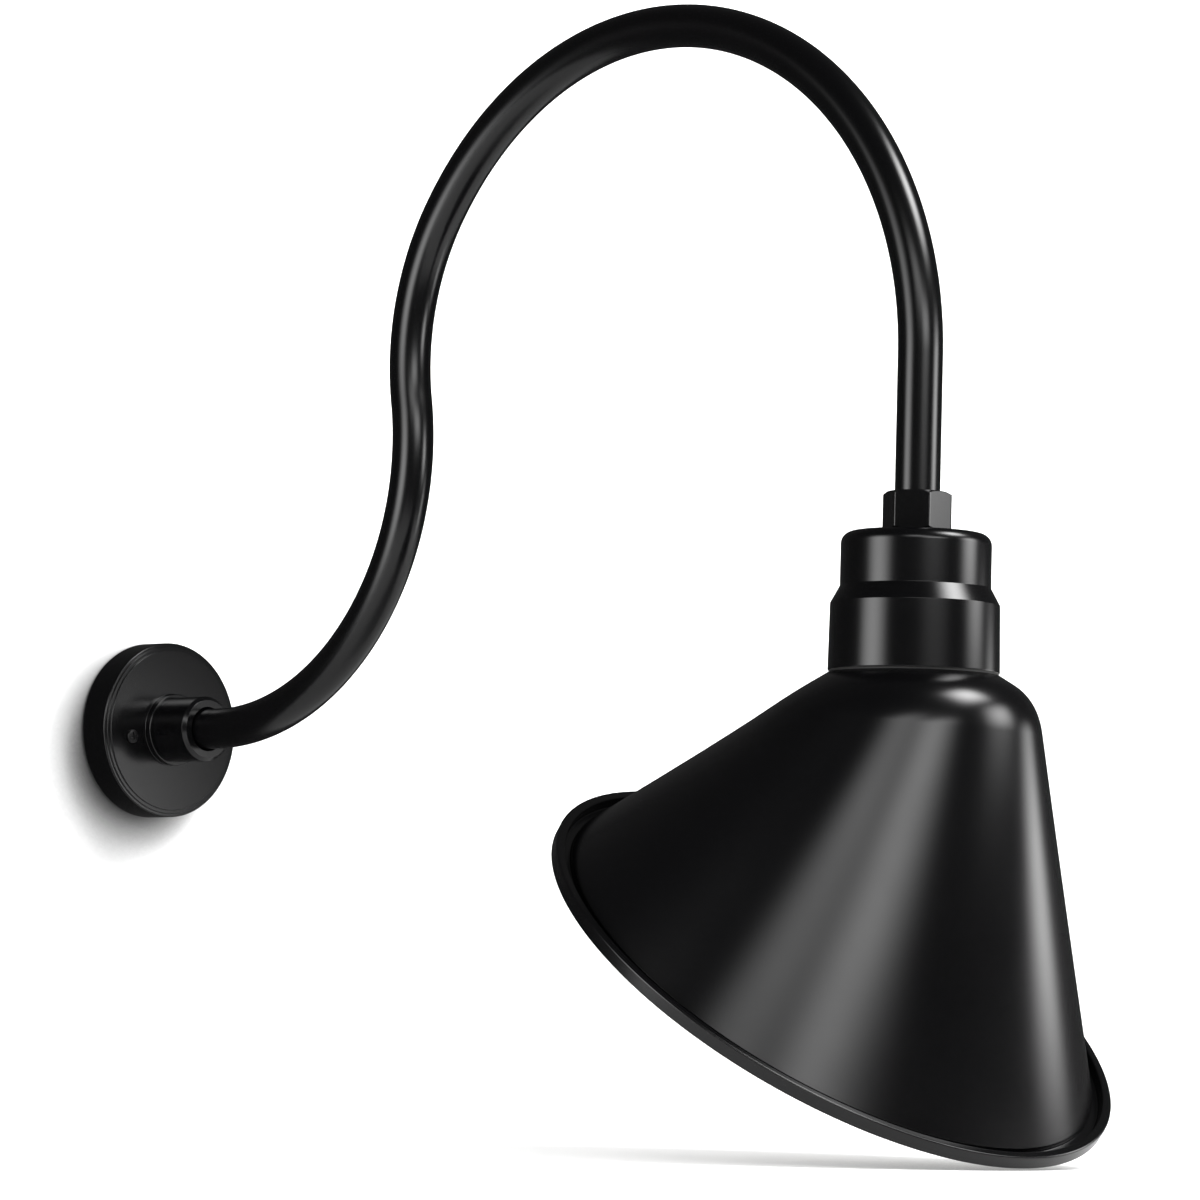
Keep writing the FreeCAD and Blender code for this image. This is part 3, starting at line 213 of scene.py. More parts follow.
# Baked on as a powder, so it lies smooth with a faint orange peel: soft highlights on a near black.
finish("satinBlackPowderCoat", ("#050506", "#060607"), 60, 1.6, 0.006, (0.21, 0.23),
       {"IOR": 1.5, "Specular IOR Level": 0.35})
# The same powder in white, which throws the bulb's light down: an even, warm white.
finish("whiteBakedEnamel", ("#e9e8e2", "#f2f1ec"), 60, 1.6, 0.006, (0.28, 0.36),
       {"IOR": 1.5, "Specular IOR Level": 0.35})
# A thin bright plating on rolled sheet: grey metal, slightly cloudy, with faint rolling lines.
finish("zincPlatedSteel", ("#a9aba8", "#c6c7c3"), 9, 0.5, 0.004, (0.26, 0.42), {"Metallic": 1.0}, (1, 1, 6))
# Stamped from rolled strip: a dull yellow metal with fine lines.
finish("stampedBrass", ("#b08d4a", "#cfae68"), 9, 0.5, 0.004, (0.24, 0.38), {"Metallic": 1.0}, (1, 1, 3))
# Drawn and plated: a smooth, warm grey metal.
finish("nickelPlatedCap", ("#b4b2aa", "#cfcdc6"), 9, 0.5, 0.004, (0.18, 0.30), {"Metallic": 1.0}, (1, 1, 3))
# A drop that has set: a soft grey metal, blurred in its shine.
finish("solderedTin", ("#8e8f90", "#b5b6b6"), 9, 0.5, 0.004, (0.35, 0.5), {"Metallic": 1.0})
# Steel blackened in a hot bath and oiled: a charcoal metal with little shine.
finish("blackOxideSteel", ("#121212", "#1b1b1c"), 3, 0.35, 0.004, (0.28, 0.42), {"Metallic": 0.6})
# A ground screw's green dye over plating: a deep green with some metal in its shine.
finish("greenDyedSteel", ("#1d6b3a", "#2c8a4e"), 3, 0.4, 0.003, (0.25, 0.38), {"Metallic": 0.4})
# Foam cut from sheet: dull, with open pores.
finish("closedCellFoam", ("#1a1a1b", "#2a2a2b"), 2, 0.6, 0.18, (0.85, 0.95))
# Rubber from a mould: a dull, even black.
finish("mouldedRubber", ("#141414", "#1e1e1e"), 5, 0.5, 0.01, (0.6, 0.75))
# Fired clay under a glaze: cream white with a clear, wet shine.
finish("glazedPorcelain", ("#e8e5db", "#f3f1ea"), 25, 3.0, 0.006, (0.08, 0.14), {"Coat Weight": 0.6})
# Extruded round the wire: smooth plastic with a low shine.
finish("blackWireInsulation", ("#0e0e0f", "#171718"), 8, 0.6, 0.004, (0.35, 0.5))
finish("whiteWireInsulation", ("#d8d7d2", "#e6e5e1"), 8, 0.6, 0.004, (0.35, 0.5))
# An orange twist-on cap from a mould.
finish("mouldedConnectorPlastic", ("#b9531d", "#d2672b"), 6, 0.6, 0.006, (0.35, 0.5))
# Glass poured into the cap round its tip: black and bright.
finish("fusedBlackGlass", ("#08080a", "#101014"), 6, 1.0, 0.004, (0.06, 0.12))
# Glass etched on its inner side: milky, with light coming through.
finish("frostedGlass", ("#e9eae8", "#f4f5f3"), 20, 0.4, 0.004, (0.32, 0.40),
       {"Transmission Weight": 0.35, "IOR": 1.5})
print("materials made")


def dress(piece, *names):
    piece.data.materials.clear()
    for name in names:
        piece.data.materials.append(finishes[name])


cadFinish = {
    "wall_gasket": "closedCellFoam", "box_strap": "zincPlatedSteel", "plate_strap": "zincPlatedSteel",
    "strap_rivet": "stampedBrass", "ground_screw": "greenDyedSteel", "plate_screws": "blackOxideSteel",
    "hub_set_screw": "blackOxideSteel", "live_lead": "blackWireInsulation",
    "neutral_lead": "whiteWireInsulation", "wire_connectors": "mouldedConnectorPlastic",
    "nut_washer": "mouldedRubber", "holder_plate": "zincPlatedSteel",
    "holder_plate_screws": "zincPlatedSteel", "lampholder": "glazedPorcelain",
    "lampholder_screws": "zincPlatedSteel", "terminals": "stampedBrass", "screw_shell": "stampedBrass",
    "centre_contact": "stampedBrass", "bulb_contact": "solderedTin", "bulb_insulator": "fusedBlackGlass",
    "bulb_cap": "nickelPlatedCap", "shade_gasket": "mouldedRubber", "shade_ring": "zincPlatedSteel",
    "shade_screws": "zincPlatedSteel",
}
for node, name in cadFinish.items():
    dress(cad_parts[node], name)
print("carried-over nodes dressed")


# Backplate: a hollow casting with two low ledges round its face and a short boss in the middle.
plate = {"radius": 58.5, "wall": 3.2, "back": 1.5, "depth": 23.2, "edgeRound": 1.1, "stepInset": 2.3,
         "step": 0.9, "inset": 4.6, "rise": 1.8, "faceRound": 0.45, "ledgeRound": 0.25,
         "bossRadius": 24.0, "bossLength": 4.8, "bossRound": 0.7, "bossFoot": 0.4, "bore": 13.4,
         "backRound": 0.5, "innerRound": 0.3, "cornerInside": 2.0, "columns": 200}
stepHeight = plate["depth"] + plate["step"]
faceHeight = plate["depth"] + plate["rise"]
bossTop = faceHeight + plate["bossLength"]
plateOutline = roundedOutline([
    (plate["radius"] - plate["wall"], plate["back"], plate["innerRound"]),
    (plate["radius"], plate["back"], plate["backRound"]),
    (plate["radius"], plate["depth"], plate["edgeRound"]),
    (plate["radius"] - plate["stepInset"], plate["depth"], plate["ledgeRound"]),
    (plate["radius"] - plate["stepInset"], stepHeight, plate["faceRound"]),
    (plate["radius"] - plate["inset"], stepHeight, plate["ledgeRound"]),
    (plate["radius"] - plate["inset"], faceHeight, plate["faceRound"]),
    (plate["bossRadius"], faceHeight, plate["bossFoot"]),
    (plate["bossRadius"], bossTop, plate["bossRound"]),
    (plate["bore"], bossTop, plate["innerRound"]),
    (plate["bore"], faceHeight - plate["wall"], plate["innerRound"]),
    (plate["radius"] - plate["wall"], faceHeight - plate["wall"], plate["cornerInside"])])
backplate = gridPiece("backplate_casting", [
    onWall(*turnedPoints(plateOutline, plate["columns"]))], "wall_plate")
dress(backplate, "satinBlackPowderCoat")
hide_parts("backplate")

# Hub collar: turned from bar, with a bevelled front edge and mouth.
collar = {"radius": 21.6, "length": 31.2, "bevel": 2.2, "mouth": 1.4, "round": 0.35, "footRound": 0.3,
          "boreRound": 0.2, "columns": 160}
collarFront = bossTop + collar["length"]
collarOutline = roundedOutline([
    (plate["bore"], bossTop, collar["boreRound"]),
    (collar["radius"], bossTop, collar["footRound"]),
    (collar["radius"], collarFront - collar["bevel"], collar["round"]),
    (collar["radius"] - collar["bevel"], collarFront, collar["round"]),
    (plate["bore"] + collar["mouth"], collarFront, collar["round"]),
    (plate["bore"], collarFront - collar["mouth"], collar["round"])])
hubCollar = gridPiece("hub_collar_turned", [
    onWall(*turnedPoints(collarOutline, collar["columns"]))], "wall_plate")
dress(hubCollar, "satinBlackPowderCoat")
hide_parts("hub_collar")

# Plate screws: pan heads with a cross recess. The head's top is a low dome, and the recess lowers it by
# depth * soft step(half width - distance to the nearer arm) * soft step(half length - radius), where
# the soft step of a gap is 1 / (1 + e^(-2 gap / soft)).
plateScrew = {"place": 36.0, "turn": 10.0, "head": 4.5, "height": 2.3, "dome": 0.9, "edge": 0.4,
              "edgeInset": 0.12, "edgeDrop": 0.1, "foot": 0.25, "shank": 2.0, "tip": 2.0, "armWidth": 1.2,
              "armLength": 5.4, "recess": 1.3, "soft": 0.18, "steepest": 30, "rows": 44, "columns": 144}


def softStep(gap):
    steepness = np.clip(2 * gap / plateScrew["soft"], -plateScrew["steepest"], plateScrew["steepest"])
    return 1 / (1 + np.exp(-steepness))


def plateScrewPoints(side):
    s = plateScrew
    around = np.linspace(0, 2 * math.pi, s["columns"], endpoint=False)
    radius = np.linspace(0, 1, s["rows"])[:, None] * (s["head"] - s["edge"])
    across, upward = radius * np.cos(around), radius * np.sin(around)
    nearer = np.minimum(np.abs(across), np.abs(upward))
    cut = s["recess"] * softStep(s["armWidth"] / 2 - nearer) * softStep(s["armLength"] / 2 - radius)
    top = s["height"] - s["dome"] * (radius / s["head"]) ** 2 - cut
    shoulder = s["height"] - s["dome"] - s["edgeDrop"]
    sideRows = [(s["head"] - s["edgeInset"], shoulder - s["edgeDrop"]), (s["head"], shoulder - s["edge"]),
                (s["head"], s["foot"]), (s["head"] - s["foot"], 0.0), (s["shank"], 0.0),
                (s["shank"], s["tip"] - faceHeight), (0.0, s["tip"] - faceHeight)]
    radii = np.concatenate([radius + 0 * around, [[r] * s["columns"] for r, _ in sideRows]])
    lift = np.concatenate([top, [[z] * s["columns"] for _, z in sideRows]])
    middle = np.radians(s["turn"])
    return onWall(radii * np.cos(around + middle) + side * s["place"] * math.cos(middle),
                  radii * np.sin(around + middle) + side * s["place"] * math.sin(middle),
                  faceHeight + lift)


plateScrews = gridPiece("plate_screw_pair", [plateScrewPoints(1), plateScrewPoints(-1)], "wall_plate",
                        polesAtEnds=True)
dress(plateScrews, "blackOxideSteel")
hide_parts("plate_screws")


# Arm. A circle is carried along the arm's line, out along the outside and back along the bore:
# each point is the line's point plus radius * (cosine across, sine along the line's own normal).
def pipePoints(stations, radius, columns):
    turn = np.linspace(0, 2 * math.pi, columns, endpoint=False)
    out, up, heading = (stations[:, i, None] for i in range(3))
    side = radius[:, None] * np.cos(turn)
    lift = radius[:, None] * np.sin(turn)
    return onWall(side, up + lift * np.cos(heading), out - lift * np.sin(heading))


# The station of the line that lies the end bevel's length inside one of its ends.
def bevelled(end, sense):
    out, up, heading = line[end]
    inward = sense * arm["endBevel"]
    return np.array([[out + inward * math.cos(heading), up + inward * math.sin(heading), heading]])


outsideLine = np.concatenate([line[:1], bevelled(0, 1), line[1:-1], bevelled(-1, -1), line[-1:]])
outsideRadius = np.full(len(outsideLine), arm["pipeRadius"])
outsideRadius[[0, -1]] -= arm["endBevel"]
bore = arm["pipeRadius"] - arm["pipeWall"]
gooseneck = gridPiece("gooseneck_pipe", [pipePoints(
    np.concatenate([outsideLine, line[::-1]]),
    np.concatenate([outsideRadius, np.full(len(line), bore)]), arm["columns"])], "arm")
dress(gooseneck, "satinBlackPowderCoat")
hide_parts("gooseneck_arm")
print("plate, collar and arm made")


# Lock nut. A hexagon's radius at each angle is its half width over the sum of the six faces' cosines,
# each raised to a high power, which rounds the corners a little. The top is cut back by a cone.
nut = {"acrossFlats": 35.8, "bottom": -1.0, "height": 23.0, "circleInset": 0.2, "bevelSlope": 0.55,
       "soft": 0.3, "sharpness": 90, "sharpFrom": 20, "bore": 13.4, "columns": 240}


def nutPoints():
    turn = np.linspace(0, 2 * math.pi, nut["columns"], endpoint=False)
    faces = np.radians(30 + 60 * np.arange(6))[:, None]
    nearness = np.maximum(np.cos(turn - faces), 0) ** nut["sharpness"]
    side = nut["acrossFlats"] / 2 / nearness.sum(0) ** (1 / nut["sharpness"])
    circle = nut["acrossFlats"] / 2 - nut["circleInset"]
    drop = np.maximum(side - circle, 0) * nut["bevelSlope"]
    top, foot, soft = nut["bottom"] - nut["height"], nut["bottom"], nut["soft"]
    rings = [(nut["bore"], foot), (circle, foot),
             (side, foot - drop), (side, foot - drop - soft),
             (side, top + drop + soft), (side, top + drop),
             (circle, top), (circle - soft, top),
             (nut["bore"] + soft, top), (nut["bore"], top + soft)]
    radius = np.stack([r + 0 * turn for r, _ in rings])
    depth = np.stack([d + 0 * turn for _, d in rings])
    return inHead(radius * np.cos(turn), radius * np.sin(turn), depth)


lockNut = gridPiece("hex_nut_body", [nutPoints()], "lock_nut")
lockNut.data.set_sharp_from_angle(angle=math.radians(nut["sharpFrom"]))
dress(lockNut, "satinBlackPowderCoat")
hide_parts("hex_lock_nut")


# Neck housing: a stepped casting, turned about the head's axis, with two posts that carry the
# lampholder's plate and four lugs that take the shade screws.
housing = {"bore": 13.4, "upper": 44.3, "upperHeight": 32.0, "lower": 50.4, "draft": 0.6, "taper": 10.0,
           "height": 82.0, "wall": 3.2, "topRound": 7.0, "edgeRound": 0.9, "topThickness": 6.0,
           "hubRadius": 19.0, "hubDepth": 19.0, "post": 4.6, "postBore": 1.95, "postPlace": 29.5,
           "postLength": 22.0, "lug": 4.4, "lugBore": 2.05, "lugPlace": 43.6, "lugHeight": 14.0,
           "tapDepth": 9.0, "boreRound": 0.4, "footRound": 0.3, "innerRound": 1.0, "ceilingRound": 1.5,
           "hubRound": 0.5, "sharp": 0.1, "tapRound": 0.2, "postSink": 1.0, "plugMiddle": 0.05,
           "plugRound": 0.01, "columns": 180, "postColumns": 40}
h = housing
housingOutline = roundedOutline([
    (h["bore"], 0, h["boreRound"]),
    (h["upper"], 0, h["topRound"]),
    (h["upper"], h["upperHeight"], h["edgeRound"]),
    (h["lower"] - h["draft"], h["upperHeight"] + h["taper"], h["edgeRound"]),
    (h["lower"], h["height"], h["edgeRound"]),
    (h["lower"] - h["wall"], h["height"], h["footRound"]),
    (h["lower"] - h["wall"], h["upperHeight"] + h["taper"] + h["wall"], h["innerRound"]),
    (h["upper"] - h["wall"], h["upperHeight"] + h["wall"], h["innerRound"]),
    (h["upper"] - h["wall"], h["topThickness"], h["ceilingRound"]),
    (h["hubRadius"], h["topThickness"], h["innerRound"]),
    (h["hubRadius"], h["hubDepth"], h["hubRound"]),
    (h["bore"], h["hubDepth"], h["footRound"])], steps=8)
postTop = h["topThickness"] - h["postSink"]
postOutline = roundedOutline([
    (h["postBore"], postTop, h["sharp"]), (h["post"], postTop, h["sharp"]),
    (h["post"], h["postLength"], h["boreRound"]), (h["postBore"], h["postLength"], h["footRound"])])
lugFoot = h["height"] - h["lugHeight"]
lugOutline = roundedOutline([
    (h["lugBore"], lugFoot, h["sharp"]), (h["lug"], lugFoot, h["boreRound"]),
    (h["lug"], h["height"], h["footRound"]), (h["lugBore"], h["height"], h["tapRound"])])
tapEnd = h["height"] - h["tapDepth"]
plugOutline = roundedOutline([
    (h["plugMiddle"], lugFoot, h["plugRound"]), (h["lugBore"], lugFoot, h["plugRound"]),
    (h["lugBore"], tapEnd, h["sharp"]), (h["plugMiddle"], tapEnd, h["plugRound"])])


# A post, lug or plug, turned about its own axis and set at a quarter of the housing's circle. A plug
# closes a lug's bore above its blind tapped hole.
def standing(outline, place, quarter):
    across, away, depth = turnedPoints(outline, h["postColumns"])
    angle = quarter * math.pi / 2
    return inHead(across + place * math.cos(angle), away + place * math.sin(angle), depth)


neckHousing = gridPiece("neck_housing_casting", [
    inHead(*turnedPoints(housingOutline, h["columns"])),
    *[standing(postOutline, h["postPlace"], quarter) for quarter in (0, 2)],
    *[standing(outline, h["lugPlace"], quarter)
      for quarter in range(4) for outline in (lugOutline, plugOutline)],
], "head")
dress(neckHousing, "satinBlackPowderCoat")
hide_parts("neck_housing")


# Shade. Four circles rule it: the crown's edge, the shoulder's corner, and the foot and bead of the
# tilted rim. Every row mixes points at the same angle round them: the shoulder mixes three of them as
# a quadratic curve, so that it runs smoothly from the crown into the cone.
shade = {"crown": 50.4, "seat": 83.0, "shoulder": 73.0, "shoulderDepth": 14.0, "crownTurn": 0.6,
         "coneTurn": 0.08, "rim": 183.2, "tilt": 35.3, "rimBack": 59.4, "rimDepth": 261.6,
         "foot": 171.6, "footHeight": 5.9, "brimHeight": 1.0, "wall": 1.3, "mouth": 37.0,
         "bandInside": 177.2, "bandTop": 8.4, "bandRound": 1.3, "crownWall": 0.3, "cornerWall": 0.62,
         "footWall": 1.2, "overlap": 0.5, "leadIn": 6.0, "leadUp": 10.0, "sharp": 0.1, "footRound": 0.9,
         "channelRound": 0.8, "lipRound": 0.2, "brimRound": 0.5, "turnIn": 0.3,
         "columns": 288, "shoulderRows": 28, "coneRows": 40}
turn = np.linspace(0, 2 * math.pi, shade["columns"], endpoint=False)
tilt = math.radians(shade["tilt"])
rimCentre = np.array([0, -shade["rimBack"], shade["rimDepth"]])
rimOut = np.stack([np.cos(turn), np.sin(turn) * math.cos(tilt), np.sin(turn) * math.sin(tilt)], 1)
rimDown = np.array([0, -math.sin(tilt), math.cos(tilt)])


# Rings of points: level ones round the head's axis, and ones in the tilted plane of the rim.
def levelRing(radius, depth):
    return np.stack([radius * np.cos(turn), radius * np.sin(turn), depth + 0 * turn], 1)


def rimRing(radius, height):
    return rimCentre + radius * rimOut - height * rimDown


# The shoulder's quadratic curve is (1 - t)^2 start + 2 t (1 - t) corner + t^2 end, and the cone is
# (1 - s) end + s foot.
def shellRows(crown, seat, shoulder, corner, foot, height):
    edgeRing, cornerRing = levelRing(crown, seat), levelRing(shoulder, corner)
    footRing = rimRing(foot, height)
    start = shade["crownTurn"] * edgeRing + (1 - shade["crownTurn"]) * cornerRing
    end = (1 - shade["coneTurn"]) * cornerRing + shade["coneTurn"] * footRing
    t = np.linspace(0, 1, shade["shoulderRows"])[:, None, None]
    turned = (1 - t) ** 2 * start + 2 * t * (1 - t) * cornerRing + t ** 2 * end
    s = np.linspace(0, 1, shade["coneRows"] + 1)[1:, None, None]
    cone = (1 - s) * end + s * footRing
    return np.concatenate([edgeRing[None], turned, cone])


wall = shade["wall"]
corner = shade["seat"] + shade["shoulderDepth"]
inside, floor = shade["foot"] - wall, shade["brimHeight"] + wall
arcSteps = 6
rimOutline = roundedOutline([
    (shade["foot"] - shade["leadIn"], shade["footHeight"] + shade["leadUp"], shade["sharp"]),
    (shade["foot"], shade["footHeight"], shade["footRound"]),
    (shade["foot"], floor, shade["channelRound"]),
    (shade["bandInside"], floor, shade["channelRound"]),
    (shade["bandInside"], shade["bandTop"], shade["bandRound"]),
    (shade["rim"], shade["bandTop"], shade["bandRound"]),
    (shade["rim"], 0, shade["bandRound"]),
    (shade["bandInside"], 0, shade["bandRound"]),
    (shade["bandInside"], shade["brimHeight"], shade["lipRound"]),
    (inside, shade["brimHeight"], shade["brimRound"]),
    (inside, shade["footHeight"] - shade["overlap"], shade["turnIn"]),
    (inside - shade["leadIn"], shade["footHeight"] + shade["leadUp"], shade["sharp"])], arcSteps)
outsideRows = shellRows(
    shade["crown"], shade["seat"], shade["shoulder"], corner, shade["foot"], shade["footHeight"])[:-1]
insideRows = shellRows(
    shade["crown"] - wall * shade["crownWall"], shade["seat"] + wall,
    shade["shoulder"] - wall, corner + wall * shade["cornerWall"],
    shade["foot"] - wall * shade["footWall"], shade["footHeight"] - shade["overlap"])[:-1]
arcPoints = arcSteps + 1
rimRows = np.stack([rimRing(r, z) for r, z in rimOutline[arcPoints:-arcPoints]])
mouthRows = np.stack([levelRing(shade["mouth"], z) for z in (shade["seat"] + wall, shade["seat"])])
shadeRows = np.concatenate([outsideRows, rimRows, insideRows[::-1], mouthRows])
shadeShell = gridPiece("shade_spun", [inHead(*np.moveaxis(shadeRows, -1, 0))], "head")
dress(shadeShell, "satinBlackPowderCoat", "whiteBakedEnamel")

# The white begins three corners before the rim's last row, where the brim turns in, and fills the inside.
whiteCorners = 3
rowOfFace = np.repeat(np.arange(len(shadeRows)), shade["columns"])
firstWhite = len(outsideRows) + len(rimRows) - whiteCorners * arcPoints
shadeShell.data.polygons.foreach_set("material_index", (rowOfFace >= firstWhite).astype(np.int32))
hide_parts("shade")
print("nut, housing and shade made")


# Bulb. Its outline is a ball, a line that leaves the ball at a tangent, and a straight neck in the cap.
globe = {"ball": 30.0, "bottom": 142.2, "neck": 12.6, "rim": 60.2, "foot": 42.1, "footRadius": 11.45,
         "glass": 1.0, "ballRows": 40, "neckRows": 12, "columns": 96}


def globeOutline(shrink):
    radius = globe["ball"] - shrink
    centre = globe["bottom"] - globe["ball"]
    neck = np.array([globe["neck"] - shrink, globe["rim"] - centre])
    touch = math.atan2(neck[1], neck[0]) + math.acos(radius / np.hypot(*neck))
    angles = np.linspace(math.pi / 2, touch, globe["ballRows"])
    ball = np.stack([radius * np.cos(angles), centre + radius * np.sin(angles)], 1)
    ball[0, 0] = 0.0
    toNeck = np.linspace(ball[-1], neck + [0, centre], globe["neckRows"])[1:]
    foot = np.array([[globe["footRadius"] - shrink, depth] for depth in (globe["rim"], globe["foot"])])
    return np.concatenate([ball, toNeck, foot])


bulbOutline = np.concatenate([globeOutline(0.0), globeOutline(globe["glass"])[::-1]])
bulbGlobe = gridPiece("bulb_globe_glass", [inHead(*turnedPoints(bulbOutline, globe["columns"]))], "bulb",
                      polesAtEnds=True)
dress(bulbGlobe, "frostedGlass")
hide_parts("bulb_globe")
print("bulb made")

# Camera, at the photograph's angle: in front of the wall, to the left, at the height of the shade's
# lower part. Turn, pitch and roll come from the fit to the photograph's outlines.
camera = {"turn": -46.3205, "pitch": 4.7192, "roll": 1.5364, "lens": 153.3646, "sensor": 36.0,
          "place": (-2284.139, -2600.173, -187.840), "clip": (0.05, 60)}
azimuth, pitch, roll = (math.radians(camera[key]) for key in ("turn", "pitch", "roll"))
forward = Vector((-math.sin(azimuth) * math.cos(pitch), math.cos(azimuth) * math.cos(pitch),
                  math.sin(pitch)))
rightLevel = Vector((math.cos(azimuth), math.sin(azimuth), 0))
upLevel = rightLevel.cross(forward)
right = math.cos(roll) * rightLevel + math.sin(roll) * upLevel
up = -math.sin(roll) * rightLevel + math.cos(roll) * upLevel
lens = bpy.data.cameras.new("photo_camera")
lens.lens, lens.sensor_width = camera["lens"], camera["sensor"]
lens.clip_start, lens.clip_end = camera["clip"]
photoCamera = bpy.data.objects.new("photo_camera", lens)
photoCamera.matrix_world = Matrix.Translation(Vector(camera["place"]) * mm) @ Matrix(
    [right, up, -forward]).transposed().to_4x4()
bpy.context.scene.collection.objects.link(photoCamera)
bpy.context.scene.camera = photoCamera


# Studio: a white wall and floor. Their paint takes the lamps' light, and to the camera, in reflections
# and through glass they glow as well. Near the object a painted shadow darkens both: ambient occlusion,
# faced towards the lamps, dims their paint's colour and their glow. The mirrored share dims that glow in
# reflections. From behind the planes are clear.
def stagePlane(name, corners, settings):
    mesh = bpy.data.meshes.new(name)
    mesh.from_pydata([Vector(c) * mm for c in corners], [], [(0, 1, 2, 3)])
    plane = bpy.data.objects.new(name, mesh)
    bpy.context.scene.collection.objects.link(plane)
    material = bpy.data.materials.new(name + " paint")
    material.use_nodes = True
    tree = material.node_tree
    tree.nodes.remove(tree.nodes["Principled BSDF"])
    # Painted shadow: ambient occlusion within the reach, looking along the light direction and raised to
    # the depth power, darkens the paint's colour and the glow in place of the object's cast shadow.
    lightFrom = addNode(tree, "ShaderNodeCombineXYZ", inputs=dict(zip("XYZ", settings["light"]))).outputs[0]
    openness = addNode(tree, "ShaderNodeAmbientOcclusion", {"samples": 16}, {
        "Distance": settings["paintedShadowReach"] * mm, "Normal": lightFrom}).outputs["AO"]
    paintedShadow = addNode(tree, "ShaderNodeMath", {"operation": "POWER"}, {
        0: openness, 1: settings["depth"]}).outputs[0]
    # The paint's colour is the painted shadow itself: white in the open, darker close to the object.
    paint = addNode(tree, "ShaderNodeBsdfDiffuse", inputs={"Color": paintedShadow}).outputs[0]
    glowUnderPaintedShadow = addNode(tree, "ShaderNodeMath", {"operation": "MULTIPLY"}, {
        0: paintedShadow, 1: settings["glow"]}).outputs[0]
    glow = addNode(tree, "ShaderNodeEmission", inputs={"Strength": glowUnderPaintedShadow}).outputs[0]
    lit = addNode(tree, "ShaderNodeAddShader", inputs={0: paint, 1: glow}).outputs[0]
    path = addNode(tree, "ShaderNodeLightPath").outputs
    shine = addNode(tree, "ShaderNodeMath", {"operation": "MULTIPLY"}, {
        0: path["Is Glossy Ray"], 1: settings["mirrored"]}).outputs[0]
    seen = addNode(tree, "ShaderNodeMath", {"operation": "MAXIMUM"}, {
        0: path["Is Camera Ray"], 1: shine}).outputs[0]
    seen = addNode(tree, "ShaderNodeMath", {"operation": "MAXIMUM"}, {
        0: seen, 1: path["Is Transmission Ray"]}).outputs[0]
    front = addNode(tree, "ShaderNodeMixShader", inputs={0: seen, 1: paint, 2: lit}).outputs[0]
    back = addNode(tree, "ShaderNodeBsdfTransparent").outputs[0]
    side = addNode(tree, "ShaderNodeNewGeometry").outputs["Backfacing"]
    both = addNode(tree, "ShaderNodeMixShader", inputs={0: side, 1: front, 2: back}).outputs[0]
    tree.links.new(both, tree.nodes["Material Output"].inputs["Surface"])
    plane.data.materials.append(material)
    plane.visible_shadow = False
    return plane


# The wall is hidden from the object's own reflections, where it would lie as a grey haze on the black.
far, near, behind, floorHeight = 5000, 1500, 1, -265.5
# On the wall the painted shadow reaches 90 mm round the plate and lies on its side away from the lamps.
wallPlane = stagePlane("studio_wall", [
    (-far, behind, -far), (far, behind, -far), (far, behind, far), (-far, behind, far)],
    {"glow": 0.80, "paintedShadowReach": 90, "depth": 3.0, "light": (0.55, -0.45, 0.7), "mirrored": 1.0})
wallPlane.visible_diffuse = wallPlane.visible_glossy = False
# On the floor a fainter painted shadow reaches 500 mm and lies under the shade.
stagePlane("studio_floor", [
    (-near, -near, floorHeight), (near, -near, floorHeight),
    (near, behind, floorHeight), (-near, behind, floorHeight)],
    {"glow": 0.80, "paintedShadowReach": 500, "depth": 0.5, "light": (0, 0, 1), "mirrored": 0.25})

# The world is white to the camera and gives the object only a faint light.
ambient = 0.05
world = bpy.data.worlds.new("studio")
world.use_nodes = True
bpy.context.scene.world = world
tree = world.node_tree
path = addNode(tree, "ShaderNodeLightPath").outputs
soft = tree.nodes["Background"]
soft.inputs["Color"].default_value = (1, 1, 1, 1)
soft.inputs["Strength"].default_value = ambient
white = addNode(tree, "ShaderNodeBackground", inputs={"Color": (1, 1, 1, 1), "Strength": 1.0}).outputs[0]
mixed = addNode(tree, "ShaderNodeMixShader", inputs={
    0: path["Is Camera Ray"], 1: soft.outputs[0], 2: white})
tree.links.new(mixed.outputs[0], tree.nodes["World Output"].inputs["Surface"])

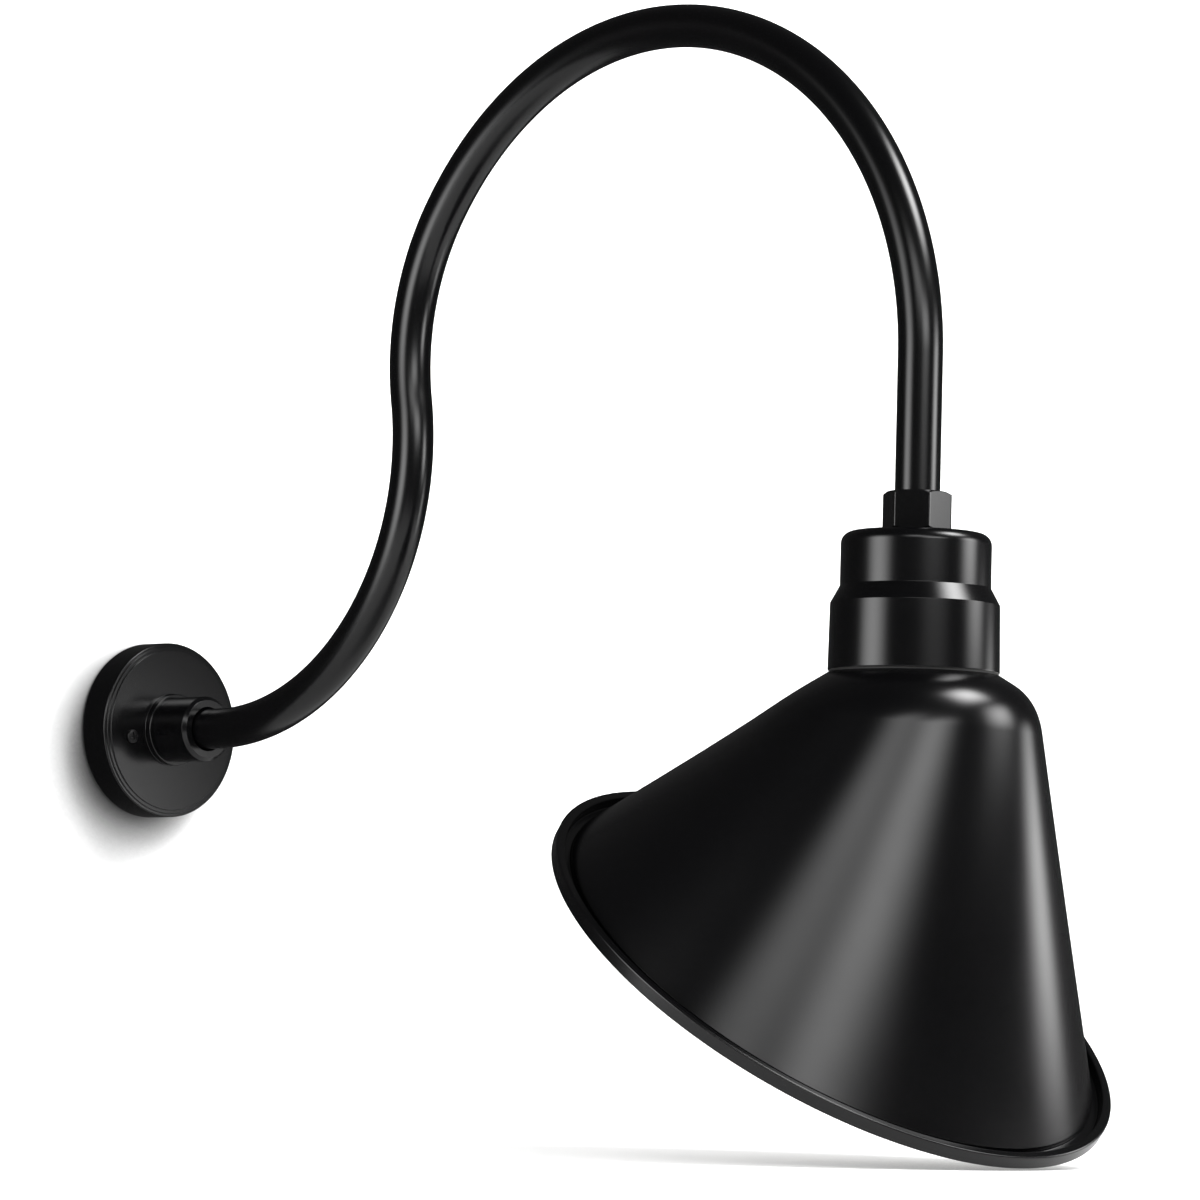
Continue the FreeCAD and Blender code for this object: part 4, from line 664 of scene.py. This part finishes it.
# Soft boxes round the head. Turn is counted from straight out of the wall, towards +x, and glow is the
# brightness in the middle of the cloth, which fades to its edges as (sin pi u)^fading (sin pi v)^fading.
# They aim at the head's axis, at a share of their own height.
fading, aimShare = 1.5, 0.5
lamps = {
    "left strip": {"turn": -107, "distance": 1500, "height": 200, "size": (1250, 1500), "glow": 8.0},
    "right upper strip": {"turn": 37, "distance": 700, "height": 235, "size": (480, 420), "glow": 12.0},
    "right lower strip": {"turn": 69, "distance": 700, "height": -55, "size": (330, 420), "glow": 6.2},
    "front upper box": {"turn": -22, "distance": 4000, "height": 1240, "size": (3500, 1150), "glow": 10.5},
    "front left box": {"turn": -48, "distance": 3000, "height": 1520, "size": (2800, 1150), "glow": 5.5},
    "crown box": {"turn": 26, "distance": 1200, "height": 1600, "size": (1300, 1300), "glow": 26.0},
}
for name, lamp in lamps.items():
    light = bpy.data.lights.new(name, "AREA")
    light.shape = "RECTANGLE"
    light.size, light.size_y = (side * mm for side in lamp["size"])
    light.energy = lamp["glow"] * math.pi * light.size * light.size_y
    light.use_nodes = True
    tree = light.node_tree
    cloth = addNode(tree, "ShaderNodeSeparateXYZ", inputs={
        "Vector": addNode(tree, "ShaderNodeNewGeometry").outputs["Parametric"]}).outputs
    fades = []
    for along in ("X", "Y"):
        angle = addNode(tree, "ShaderNodeMath", {"operation": "MULTIPLY"}, {0: cloth[along], 1: math.pi})
        hill = addNode(tree, "ShaderNodeMath", {"operation": "SINE"}, {0: angle.outputs[0]})
        fades.append(addNode(tree, "ShaderNodeMath", {"operation": "POWER"}, {
            0: hill.outputs[0], 1: fading}).outputs[0])
    fade = addNode(tree, "ShaderNodeMath", {"operation": "MULTIPLY"}, {0: fades[0], 1: fades[1]})
    tree.links.new(fade.outputs[0], tree.nodes["Emission"].inputs["Strength"])
    box = bpy.data.objects.new(name, light)
    turned = math.radians(lamp["turn"])
    box.location = Vector((lamp["distance"] * math.sin(turned),
                           -reach - lamp["distance"] * math.cos(turned), lamp["height"])) * mm
    aim = Vector((0, -reach, lamp["height"] * aimShare)) * mm
    direction = (box.location - aim).normalized()
    box.rotation_mode = "QUATERNION"
    box.rotation_quaternion = direction.to_track_quat("Z", "Y")
    box.visible_camera = False
    bpy.context.scene.collection.objects.link(box)
bpy.context.scene.view_settings.view_transform = "Standard"
print("camera and studio set")
